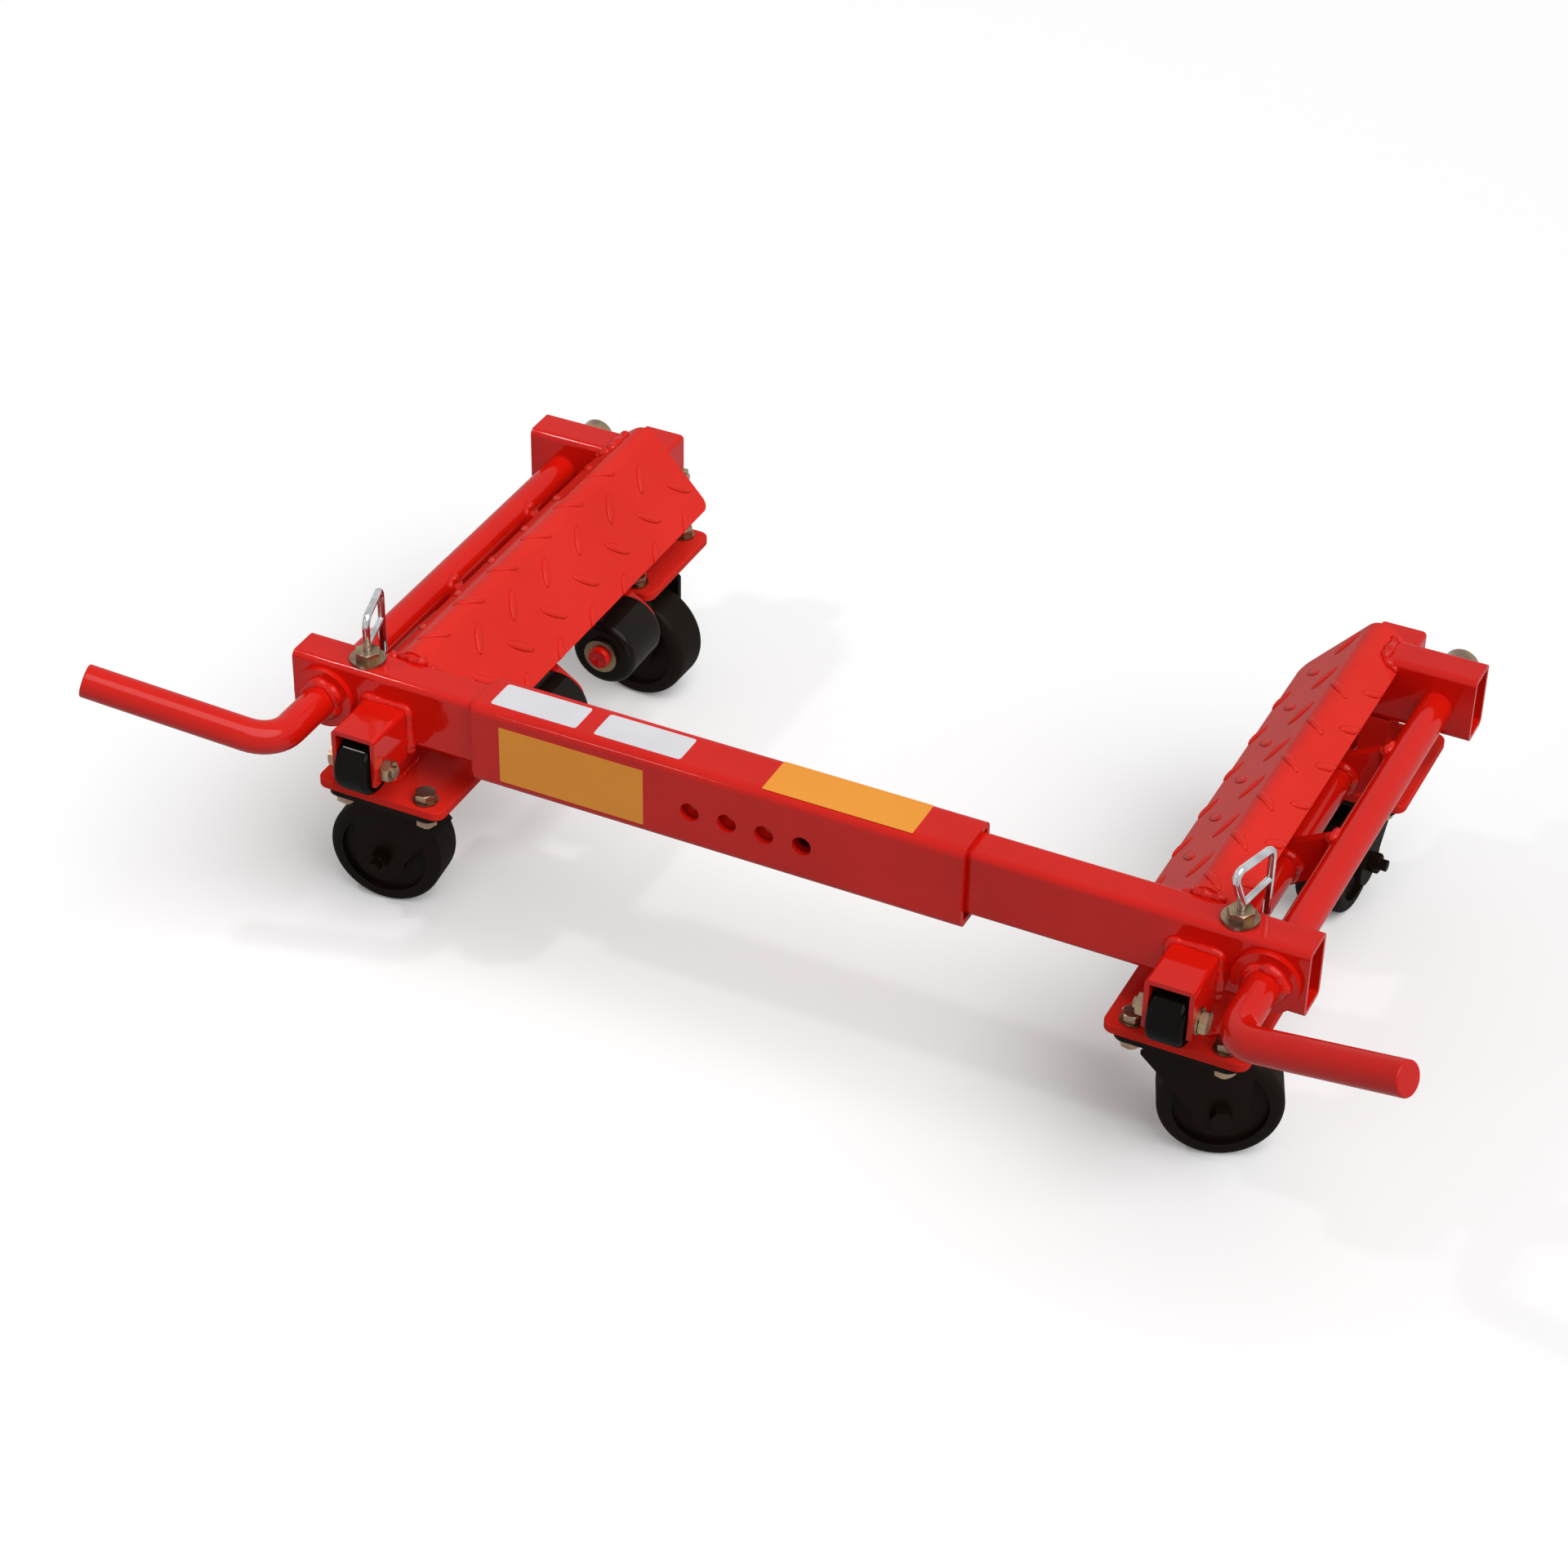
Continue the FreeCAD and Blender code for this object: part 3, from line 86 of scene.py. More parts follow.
# Counts and shares of the shapes.
SMOOTH_ROUNDS = 3
LEAST_PATH_POINTS = 8
LEAST_RING_POINTS = 24
LEAST_RIPPLES = 3
BEAD_SIDES = 10
BEAD_END_SHARE = 0.15
FIRST_WAVES, SECOND_WAVES, SECOND_PHASE = 2, 5, 3
LUG_ROWS = np.arange(-1, 4)
LUG_NUMBERS = np.arange(-4, 12)
LUG_STATION_SHARES = np.array([-0.82, -0.45, 0.0, 0.45, 0.82])
LUG_SIDES = 8
TREAD_SAMPLES = 400
LABEL_POINTS = 48
LABEL_SQUARENESS = 4
LABEL_RING_SHARES = ((1.0, 0.0), (1.0, 0.8), (0.995, 1.0))
AMBER_CORNER_SHARE = 1 / 3

# Ranges of the noises that the finishes use, and the depths of their skins in metres.
WHOLE = (0.0, 1.0)
PATCH_SHARES = (0.35, 0.68)
SKIN_SHARES = (0.3, 0.7)
TINT_SHARES = (0.38, 0.62)
KNOCK_GAIN = 1.9
KNOCK_SHARPNESS = 18.0
PLATED_PATCH_SCALE = 60.0
PEEL_DEPTH = 0.0004
PLATED_DEPTH = 0.0002
BLACK = (0.0, 0.0, 0.0, 1.0)
WHITE = (1.0, 1.0, 1.0, 1.0)

# Sockets of a Mix node that carry colours.
MIX_COLORS, MIX_RESULT = (6, 7), 2

# Sprayed and moulded finishes. The colours are fields of the finish settings: thin coat, thick coat, knocks.
ENAMEL = {"colors": ("red", "deep_red", "primer"), "roughness": (0.24, 0.32), "specular": 0.0, "coat": 0.38,
          "coat_roughness": 0.07, "fine": 300.0, "peel": 0.07, "limit": 1.12}
# Plate enamel takes the plate reds, lighter copies of the frame red: the extra lightness is painted light on
# the tread faces.
PLATE_ENAMEL = {**ENAMEL, "colors": ("lit_plate_red", "lit_plate_deep_red", "primer"), "coat": 0.07,
                "coat_roughness": 0.08}
ROLLER = {"colors": ("roller", "dusty_black", "dust"), "roughness": (0.22, 0.34), "specular": 0.0,
          "coat": 0.20, "coat_roughness": 0.16, "fine": 800.0, "peel": 0.06, "limit": 1.05}
LABEL = {"colors": ("pale_label", "pale_label_worn", "pale_label_worn"), "roughness": (0.34, 0.42),
         "specular": 0.3, "coat": 0.1, "coat_roughness": 0.2, "fine": 900.0, "peel": 0.03, "limit": 0.96}
COATS = {
    "red_enamel": ENAMEL,
    "handle_enamel": {**ENAMEL, "limit": 0.93},
    "plate_enamel": PLATE_ENAMEL,
    "tread_enamel": {**PLATE_ENAMEL, "coat": 0.20},
    "caster_black": {"colors": ("black", "dusty_black", "dust"), "roughness": (0.38, 0.52), "specular": 0.0,
                     "coat": 0.11, "coat_roughness": 0.30, "fine": 600.0, "peel": 0.16, "limit": 1.00},
    "wheel_black": {"colors": ("wheel", "dusty_black", "dust"), "roughness": (0.48, 0.62), "specular": 0.0,
                    "coat": 0.12, "coat_roughness": 0.40, "fine": 500.0, "peel": 0.22, "limit": 0.98},
    "roller_black": ROLLER,
    "small_roller_black": {**ROLLER, "colors": ("small_roller", "roller", "dust"), "coat": 0.12,
                           "coat_roughness": 0.10},
    "pale_label": LABEL,
    "amber_label": {**LABEL, "colors": ("amber_label", "amber_label_worn", "amber_label_worn")},
}
PLATINGS = {
    "yellow_zinc": {"colors": ("zinc_gold", "zinc_rose"), "roughness": (0.24, 0.40),
                    "fine": 900.0, "skin": 0.12},
    "bright_wire": {"colors": ("chrome", "chrome_shade"), "roughness": (0.06, 0.14),
                    "fine": 900.0, "skin": 0.03},
}
FINISH_BY_SLOT = {"red_paint": "red_enamel", "black_steel": "caster_black", "wheel": "wheel_black",
                  "roller": "roller_black", "zinc": "yellow_zinc", "chrome": "bright_wire"}
# Treads and mount plates take the plate enamel, whose lighter red is partly painted light.
FINISH_BY_NAME = {"lever_bar": "handle_enamel", "small_roller": "small_roller_black",
                  "caster_mount": "plate_enamel", "tread_plate": "tread_enamel"}


# Settings


def length_setting(name, description, default):
    """A length in metres."""
    return FloatProperty(name=name, description=description, unit="LENGTH", default=default)


def lengths_setting(name, description, default):
    """Two or three lengths in metres."""
    size = len(default)
    return FloatVectorProperty(name=name, description=description, unit="LENGTH", size=size, default=default)


def angle_setting(name, description, degrees):
    """An angle, given in degrees."""
    return FloatProperty(name=name, description=description, subtype="ANGLE", default=math.radians(degrees))


def color_setting(name, description, light):
    """An opaque colour, given as linear light."""
    return FloatVectorProperty(
        name=name, description=description, subtype="COLOR", size=4, default=(*light, 1))


class TreadSettings(bpy.types.PropertyGroup):
    """The bent tread plates and the lugs rolled on them."""
    slope: angle_setting("Slope", "Slope of the inner face", 47.5)
    face: length_setting("Inner face", "Width of the inner face to the sharp crest", 0.093)
    flange: length_setting("Flange", "Width of the outer flange from the sharp crest", 0.037)
    bend: length_setting("Bend", "Outer radius of the bend", 0.015)
    opened: angle_setting("Opening", "How far the flange opens beyond square", 6.5)
    crest_out: length_setting("Crest", "Middle of the beam to the sharp crest", 0.343)
    crest_rise: length_setting("Crest rise", "Sharp crest above the tubes' centre line", 0.042)
    lug_length: length_setting("Lug length", "Tip to tip", 0.030)
    lug_width: length_setting("Lug width", "At its middle", 0.0085)
    lug_height: length_setting("Lug height", "Above the plate", 0.0017)
    lug_sink: length_setting("Lug sink", "Lug's foot below the plate's surface", 0.0003)
    lug_pitch: length_setting("Lug pitch", "Lug to lug along a row", 0.0572)
    row_pitch: length_setting("Row pitch", "Row to row across the plate", 0.0293)
    row_shift: length_setting("Row shift", "Each row's start against the row before it", -0.0231)
    start_left: length_setting("Left start", "First lug on the left crest, from the tube", 0.0487)
    start_right: length_setting("Right start", "First lug on the right crest, from the tube", 0.0300)
    lug_turn: angle_setting("Lug turn", "Lug's slant to the plate's length", 45)


class WeldSettings(bpy.types.PropertyGroup):
    """The weld beads, and the sizes of the pieces that they lie on."""
    fillet: length_setting("Fillet weld", "Half width of a fillet weld", 0.0046)
    seam: length_setting("Seam weld", "Half width of the sleeve's end weld", 0.0024)
    crest: length_setting("Crest weld", "Half width of the weld under a tread's crest", 0.0050)
    collar: length_setting("Collar weld", "Half width of the weld at a lever's flange", 0.0060)
    step: length_setting("Step", "Distance between sections of a bead", 0.0016)
    ripple: length_setting("Ripple", "Length of one ripple", 0.0095)
    ripple_share: FloatProperty(
        name="Ripple share", description="Ripple's depth as a share of the bead", default=0.07)
    wander_share: FloatProperty(
        name="Wander share", description="Slow swelling as a share of the bead", default=0.28)
    bar_radius: length_setting("Bar radius", "Lever bar", 0.014)
    flange_out: length_setting("Flange", "Lever flange's front from the tube's front face", 0.0063)
    arm_plate: length_setting("Arm plate", "Lift arm's thickness", 0.010)
    arm_root: length_setting("Arm root", "Lift arm's width at the bar", 0.026)
    mount_plate: length_setting("Mount plate", "Mount plate's thickness", 0.008)
    riser_half: length_setting("Riser", "Half of a riser's length along the beam", 0.012)
    riser_out: length_setting("Riser place", "Riser's middle outside its mount plate's", 0.0105)


class LabelSettings(bpy.types.PropertyGroup):
    """The blank labels on the sleeve: places are from the beam's middle and its centre line."""
    thickness: length_setting("Thickness", "Label stock", 0.00025)
    corner: length_setting("Corner", "Corner radius of the pale labels", 0.003)
    pale_size: lengths_setting("Pale label", "Length and width", (0.0775, 0.0305))
    pale_out: lengths_setting("Pale places", "Middles of the two pale labels along X", (-0.2160, -0.1228))
    amber_top_size: lengths_setting("Top amber label", "Length and width", (0.1285, 0.0405))
    amber_top_out: length_setting("Top amber place", "Its middle along X", 0.0540)
    amber_front_size: lengths_setting("Front amber label", "Length and height", (0.1300, 0.0525))
    amber_front_out: length_setting("Front amber place", "Its middle along X", -0.1770)
    amber_front_rise: length_setting("Front amber rise", "Its middle above the tube's axis", -0.0045)


class FinishSettings(bpy.types.PropertyGroup):
    """Colours of the finishes."""
    red: color_setting("Red enamel", "Frame paint", (0.690, 0.0090, 0.0035))
    deep_red: color_setting("Deep red", "Thicker paint", (0.620, 0.0070, 0.0028))
    # The two plate reds are lighter copies of the frame red and deep red: the extra lightness is painted light,
    # standing for how light falls on the tread faces.
    lit_plate_red: color_setting("Plate red", "Paint on treads and mount plates", (0.760, 0.0260, 0.0160))
    lit_plate_deep_red: color_setting("Deep plate red", "Thicker paint on plates", (0.700, 0.0215, 0.0130))
    primer: color_setting("Chips", "Where paint is knocked off", (0.090, 0.0160, 0.0130))
    black: color_setting("Caster black", "Forks and caster plates", (0.0092, 0.0050, 0.0030))
    dusty_black: color_setting("Dusty black", "Black with a film of dust", (0.0125, 0.0082, 0.0056))
    wheel: color_setting("Wheel black", "Caster wheels", (0.0088, 0.0054, 0.0034))
    roller: color_setting("Roller black", "Moulded rollers", (0.0068, 0.0050, 0.0042))
    small_roller: color_setting("Small roller black", "Transport rollers", (0.0024, 0.0018, 0.0016))
    dust: color_setting("Dust", "Workshop dust", (0.0300, 0.0260, 0.0220))
    zinc_gold: color_setting("Zinc gold", "Yellow zinc plate", (0.310, 0.225, 0.130))
    zinc_rose: color_setting("Zinc rose", "Zinc plate's rosy patches", (0.200, 0.130, 0.100))
    chrome: color_setting("Chrome", "Plated wire", (0.560, 0.565, 0.580))
    chrome_shade: color_setting("Dull chrome", "Plated wire's dull patches", (0.380, 0.385, 0.400))
    pale_label: color_setting("Pale label", "Blank label", (0.740, 0.730, 0.760))
    pale_label_worn: color_setting("Worn pale label", "Blank label's worn patches", (0.680, 0.670, 0.700))
    amber_label: color_setting("Amber label", "Blank label", (0.880, 0.325, 0.0200))
    amber_label_worn: color_setting("Worn amber label", "Its worn patches", (0.840, 0.300, 0.0190))


class StageSettings(bpy.types.PropertyGroup):
    """Floor, light and camera."""
    eye: lengths_setting("Eye", "Camera from the beam's middle at the front tube", (1.0271, -2.1640, 1.7574))
    ahead: FloatVectorProperty(
        name="Ahead", description="Camera's viewing direction", size=3,
        default=(-0.34796, 0.73265, -0.58494))
    across: FloatVectorProperty(
        name="Across", description="Camera's direction to the right", size=3,
        default=(0.89857, 0.43859, 0.01482))
    lens: FloatProperty(name="Lens", description="Focal length in millimetres", default=87.0)
    sensor: FloatProperty(name="Sensor", description="Sensor width in millimetres", default=36.0)
    floor_size: length_setting("Floor", "Side of the floor", 40.0)
    floor_color: color_setting("Floor colour", "Pale floor", (0.950, 0.950, 0.950))
    floor_glow: color_setting("Floor glow", "Added to the floor as it is seen", (0.110, 0.110, 0.110))
    floor_bounce: color_setting("Floor bounce", "Floor as the object's light sees it", (0.340, 0.340, 0.340))
    sky: FloatProperty(name="Sky", description="Strength of the even light from all round", default=0.31)
    sun: FloatProperty(name="Sun", description="Strength of the wide overhead light", default=2.25)
    sun_spread: angle_setting("Sun spread", "Angle that the overhead light comes from", 55)
    sun_from: FloatVectorProperty(
        name="Sun from", description="Direction of the overhead light", size=3, default=(0.66, -0.25, 1.0))
    key_power: FloatProperty(name="Key", description="Power of the small lamp in watts", default=5.0)
    key_place: lengths_setting("Key place", "Small lamp above, on the left", (-1.30, -0.60, 2.00))
    key_size: length_setting("Key size", "Side of the small lamp", 0.12)
    fill_power: FloatProperty(name="Fill", description="Power of the front lamp in watts", default=3.0)
    fill_place: lengths_setting("Fill place", "Front lamp", (-1.30, -2.60, 1.50))
    fill_size: length_setting("Fill size", "Side of the front lamp", 0.3)


SETTINGS = {"dolly_tread": TreadSettings, "dolly_weld": WeldSettings, "dolly_label": LabelSettings,
            "dolly_finish": FinishSettings, "dolly_stage": StageSettings}


# Mesh helpers


def ring_faces(rows, columns, rows_closed=False):
    """Quads of a grid whose columns close on themselves: each point joins the next in its row and column."""
    last = rows if rows_closed else rows - 1
    row, column = np.meshgrid(np.arange(last), np.arange(columns), indexing="ij")
    below = ((row + 1) % rows) * columns
    here = row * columns
    beside = (column + 1) % columns
    return np.stack([here + column, here + beside, below + beside, below + column], axis=-1).reshape(-1, 4)


def cap_faces(rows, columns, start_pole, end_pole):
    """Triangles from the first and last rings of a grid to their poles."""
    column = np.arange(columns)
    beside = (column + 1) % columns
    last = (rows - 1) * columns
    start = np.stack([np.full(columns, start_pole), beside, column], axis=-1)
    end = np.stack([np.full(columns, end_pole), last + column, last + beside], axis=-1)
    return np.concatenate([start, end])


def face_outwards(mesh):
    """Turns the faces of a mesh's closed shells outwards."""
    edit = bmesh.new()
    edit.from_mesh(mesh)
    bmesh.ops.recalc_face_normals(edit, faces=edit.faces)
    edit.to_mesh(mesh)
    edit.free()


def piece(name, shells, body, material, smooth=True):
    """One object from closed shells, each given as (points, faces lists), that rides on a body."""
    points, faces, base = [], [], 0
    for shell_points, shell_faces in shells:
        points.append(shell_points)
        faces += [(block + base).tolist() for block in shell_faces]
        base += len(shell_points)
    mesh = bpy.data.meshes.new(name)
    mesh.from_pydata(np.concatenate(points).tolist(), [], [face for block in faces for face in block])
    mesh.validate()
    face_outwards(mesh)
    mesh.polygons.foreach_set("use_smooth", np.full(len(mesh.polygons), smooth))
    mesh.materials.append(material)
    obj = bpy.data.objects.new(name, mesh)
    bpy.context.scene.collection.objects.link(obj)
    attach(obj, body)
    return obj


def unit(vectors):
    """Vectors scaled to length one."""
    return vectors / np.linalg.norm(vectors, axis=-1, keepdims=True)


def even(vector, path):
    """One vector for every point of a path."""
    return np.asarray(vector, float) * np.ones((len(path), 1))


def spread(corners, step, closed=False):
    """Points a step apart along straight runs between corners, softened there by a running mean."""
    corners = np.asarray(corners, float)
    if closed:
        corners = np.concatenate([corners, corners[:1]])
    reach = np.concatenate([[0], np.cumsum(np.linalg.norm(np.diff(corners, axis=0), axis=1))])
    count = max(int(reach[-1] / step), LEAST_PATH_POINTS)
    where = np.linspace(0, reach[-1], count, endpoint=not closed)
    points = np.stack([np.interp(where, reach, corners[:, axis]) for axis in range(corners.shape[1])], axis=1)
    for _ in range(SMOOTH_ROUNDS):
        before, after = np.roll(points, 1, axis=0), np.roll(points, -1, axis=0)
        mean = (before + points + after) / 3
        points = mean if closed else np.concatenate([points[:1], mean[1:-1], points[-1:]])
    return points


def bead(path, lean, half_width, closed=False, phase=0.0):
    """A weld bead: a round section carried along a path, swelling with a short ripple and a slow wander.

    lean is the direction that the bead bulges in at each point. The section's radius is the half width times
    one plus the ripple's sine and the sum of two slow sines, and the ends close to a point.
    """
    weld = bpy.context.scene.dolly_weld
    ahead = np.roll(path, -1, axis=0) - np.roll(path, 1, axis=0) if closed else np.gradient(path, axis=0)
    ahead = unit(ahead)
    side = unit(np.cross(ahead, lean))
    lift = unit(np.cross(side, ahead))
    where = np.concatenate([[0], np.cumsum(np.linalg.norm(np.diff(path, axis=0), axis=1))])
    total = where[-1] + np.linalg.norm(path[0] - path[-1])
    turns = max(round(total / weld.ripple), LEAST_RIPPLES)
    along = 2 * np.pi * where / total
    ripple = weld.ripple_share * np.sin(turns * along + phase)
    slow = np.sin(FIRST_WAVES * along + phase) + np.sin(SECOND_WAVES * along + SECOND_PHASE * phase)
    wander = weld.wander_share * slow / 2
    radius = half_width * (1 + ripple + wander)
    if not closed:
        to_end = np.minimum(where, where[-1] - where) / half_width
        radius = radius * np.sqrt(np.clip(to_end, BEAD_END_SHARE, 1))
    turn = np.linspace(0, 2 * np.pi, BEAD_SIDES, endpoint=False)
    section = side[:, None] * np.cos(turn)[None, :, None] + lift[:, None] * np.sin(turn)[None, :, None]
    points = path[:, None] + section * radius[:, None, None]
    rows, columns = len(path), len(turn)
    grid = points.reshape(-1, 3)
    if closed:
        return grid, [ring_faces(rows, columns, rows_closed=True)]
    poles = np.stack([path[0], path[-1]])
    return (np.concatenate([grid, poles]),
            [ring_faces(rows, columns), cap_faces(rows, columns, len(grid), len(grid) + 1)])


def collar(centre, radius, axis_sign, half_width, phase):
    """A ring weld round a bar along Y, leaning half outwards and half along the bar."""
    weld = bpy.context.scene.dolly_weld
    count = max(int(2 * np.pi * radius / weld.step), LEAST_RING_POINTS)
    turn = np.linspace(0, 2 * np.pi, count, endpoint=False)
    radial = np.stack([np.cos(turn), np.zeros(count), np.sin(turn)], axis=1)
    path = np.asarray(centre) + radial * radius
    lean = radial + np.array([0, axis_sign, 0])
    return bead(path, lean, half_width, closed=True, phase=phase)


# Shader helpers


def shader_node(tree, kind, **values):
    """Adds a node and sets its properties or, by socket name with spaces as underscores, its inputs."""
    made = tree.nodes.new(kind)
    for name, value in values.items():
        if hasattr(made, name):
            setattr(made, name, value)
        else:
            made.inputs[name.replace("_", " ")].default_value = value
    return made


def shared_group(name, inputs, outputs):
    """An empty node group with float inputs (name: default) and float outputs, and its two end nodes."""
    group = bpy.data.node_groups.new(name, "ShaderNodeTree")
    for label, default in inputs.items():
        socket = group.interface.new_socket(label, in_out="INPUT", socket_type="NodeSocketFloat")
        socket.default_value = default
    for label in outputs:
        group.interface.new_socket(label, in_out="OUTPUT", socket_type="NodeSocketFloat")
    return group, group.nodes.new("NodeGroupInput"), group.nodes.new("NodeGroupOutput")


def grain_group():
    """Coat grain: a fine noise for the surface's skin and a slow noise for its patches."""
    scales = {"Fine Scale": 700.0, "Patch Scale": 9.0}
    group, start, end = shared_group("coat_grain", scales, ("Fine", "Patch"))
    place = shader_node(group, "ShaderNodeTexCoord")
    fine = shader_node(group, "ShaderNodeTexNoise", Detail=2.0, Roughness=0.5)
    patch = shader_node(group, "ShaderNodeTexNoise", Detail=4.0, Roughness=0.55)
    for noise, scale, label in ((fine, "Fine Scale", "Fine"), (patch, "Patch Scale", "Patch")):
        group.links.new(place.outputs["Object"], noise.inputs["Vector"])
        group.links.new(start.outputs[scale], noise.inputs["Scale"])
        group.links.new(noise.outputs["Fac"], end.inputs[label])
    return group


def chip_group():
    """Knocks and scuffs: small cells of a noise above a limit, kept only inside slow patches."""
    group, start, end = shared_group("knocks", {"Scale": 160.0, "Limit": 0.74, "Spread": 12.0}, ("Mask",))
    place = shader_node(group, "ShaderNodeTexCoord")
    spots = shader_node(group, "ShaderNodeTexNoise", Detail=3.0, Roughness=0.7)
    patch = shader_node(group, "ShaderNodeTexNoise", Detail=1.0)
    both = shader_node(group, "ShaderNodeMath", operation="MULTIPLY")
    lifted = shader_node(group, "ShaderNodeMath", operation="MULTIPLY")
    lifted.inputs[1].default_value = KNOCK_GAIN
    over = shader_node(group, "ShaderNodeMath", operation="SUBTRACT")
    sharp = shader_node(group, "ShaderNodeMath", operation="MULTIPLY", use_clamp=True)
    sharp.inputs[1].default_value = KNOCK_SHARPNESS
    group.links.new(place.outputs["Object"], spots.inputs["Vector"])
    group.links.new(place.outputs["Object"], patch.inputs["Vector"])
    group.links.new(start.outputs["Scale"], spots.inputs["Scale"])
    group.links.new(start.outputs["Spread"], patch.inputs["Scale"])
    group.links.new(spots.outputs["Fac"], both.inputs[0])
    group.links.new(patch.outputs["Fac"], both.inputs[1])
    group.links.new(both.outputs[0], lifted.inputs[0])
    group.links.new(lifted.outputs[0], over.inputs[0])
    group.links.new(start.outputs["Limit"], over.inputs[1])
    group.links.new(over.outputs[0], sharp.inputs[0])
    group.links.new(sharp.outputs[0], end.inputs["Mask"])
    return group


def new_material(name):
    """A node material with only its shader and output."""
    material = bpy.data.materials.new(name)
    material.use_nodes = True
    tree = material.node_tree
    return material, tree, tree.nodes["Principled BSDF"]


def place_group(tree, group, **values):
    """Puts a shared group into a material with its own values."""
    made = tree.nodes.new("ShaderNodeGroup")
    made.node_tree = group
    for label, value in values.items():
        made.inputs[label.replace("_", " ")].default_value = value
    return made


def mix_colors(tree, factor, first, second):
    """Mixes two colours, or sockets, by a factor socket."""
    mixer = shader_node(tree, "ShaderNodeMix", data_type="RGBA")
    tree.links.new(factor, mixer.inputs["Factor"])
    for number, source in zip(MIX_COLORS, (first, second)):
        socket = mixer.inputs[number]
        if isinstance(source, bpy.types.NodeSocket):
            tree.links.new(source, socket)
        else:
            socket.default_value = source
    return mixer.outputs[MIX_RESULT]


def ramped(tree, source, span, onto):
    """Maps a value's range onto another."""
    made = shader_node(tree, "ShaderNodeMapRange")
    for label, value in zip(("From Min", "From Max", "To Min", "To Max"), (*span, *onto)):
        made.inputs[label].default_value = value
    tree.links.new(source, made.inputs["Value"])
    return made.outputs["Result"]


def bumped(tree, shader, height, strength, distance):
    """Raises the surface by a height socket."""
    bump = shader_node(tree, "ShaderNodeBump", Strength=strength, Distance=distance)
    tree.links.new(height, bump.inputs["Height"])
    tree.links.new(bump.outputs["Normal"], shader.inputs["Normal"])


def coated(name, grain, knocks, looks):
    """A sprayed or moulded finish: colour in slow patches, a fine skin, and knocks in a third colour."""
    tone = bpy.context.scene.dolly_finish
    thin, thick, chip = (tuple(getattr(tone, field)) for field in looks["colors"])
    material, tree, shader = new_material(name)
    skin = place_group(tree, grain, Fine_Scale=looks["fine"])
    knock = place_group(tree, knocks, Limit=looks["limit"])
    patchy = mix_colors(tree, ramped(tree, skin.outputs["Patch"], PATCH_SHARES, WHOLE), thin, thick)
    tree.links.new(mix_colors(tree, knock.outputs["Mask"], patchy, chip), shader.inputs["Base Color"])
    rough = ramped(tree, skin.outputs["Patch"], SKIN_SHARES, looks["roughness"])
    tree.links.new(rough, shader.inputs["Roughness"])
    shader.inputs["Specular IOR Level"].default_value = looks["specular"]
    shader.inputs["Coat Weight"].default_value = looks["coat"]
    shader.inputs["Coat Roughness"].default_value = looks["coat_roughness"]
    bumped(tree, shader, skin.outputs["Fine"], looks["peel"], PEEL_DEPTH)
    return material


def plated(name, grain, looks):
    """A plated metal: two tints in patches, with a fine brushed skin."""
    tone = bpy.context.scene.dolly_finish
    bright, dull = (tuple(getattr(tone, field)) for field in looks["colors"])
    material, tree, shader = new_material(name)
    skin = place_group(tree, grain, Fine_Scale=looks["fine"], Patch_Scale=PLATED_PATCH_SCALE)
    tint = mix_colors(tree, ramped(tree, skin.outputs["Patch"], TINT_SHARES, WHOLE), bright, dull)
    tree.links.new(tint, shader.inputs["Base Color"])
    shader.inputs["Metallic"].default_value = 1.0
    rough = ramped(tree, skin.outputs["Fine"], SKIN_SHARES, looks["roughness"])
    tree.links.new(rough, shader.inputs["Roughness"])
    bumped(tree, shader, skin.outputs["Fine"], looks["skin"], PLATED_DEPTH)
    return material


def finish(name):
    """A finish that the finishes operator has made."""
    return bpy.data.materials[name]


# Operators


class DOLLY_OT_finishes(bpy.types.Operator):
    """Makes the finishes and puts them on the model's nodes"""
    bl_idname = "dolly.finishes"
    bl_label = "Finishes"

    def execute(self, context):
        grain, knocks = grain_group(), chip_group()
        for name, looks in COATS.items():
            coated(name, grain, knocks, looks)
        for name, looks in PLATINGS.items():
            plated(name, grain, looks)
        for part in frame["record"]["subparts"]:
            data = frame["nodes"][part["node"]].data
            data.materials.clear()
            chosen = FINISH_BY_SLOT[part["material_slot"]]
            for start, other in FINISH_BY_NAME.items():
                if part["node"].startswith(start):
                    chosen = other
            data.materials.append(finish(chosen))
        return {"FINISHED"}


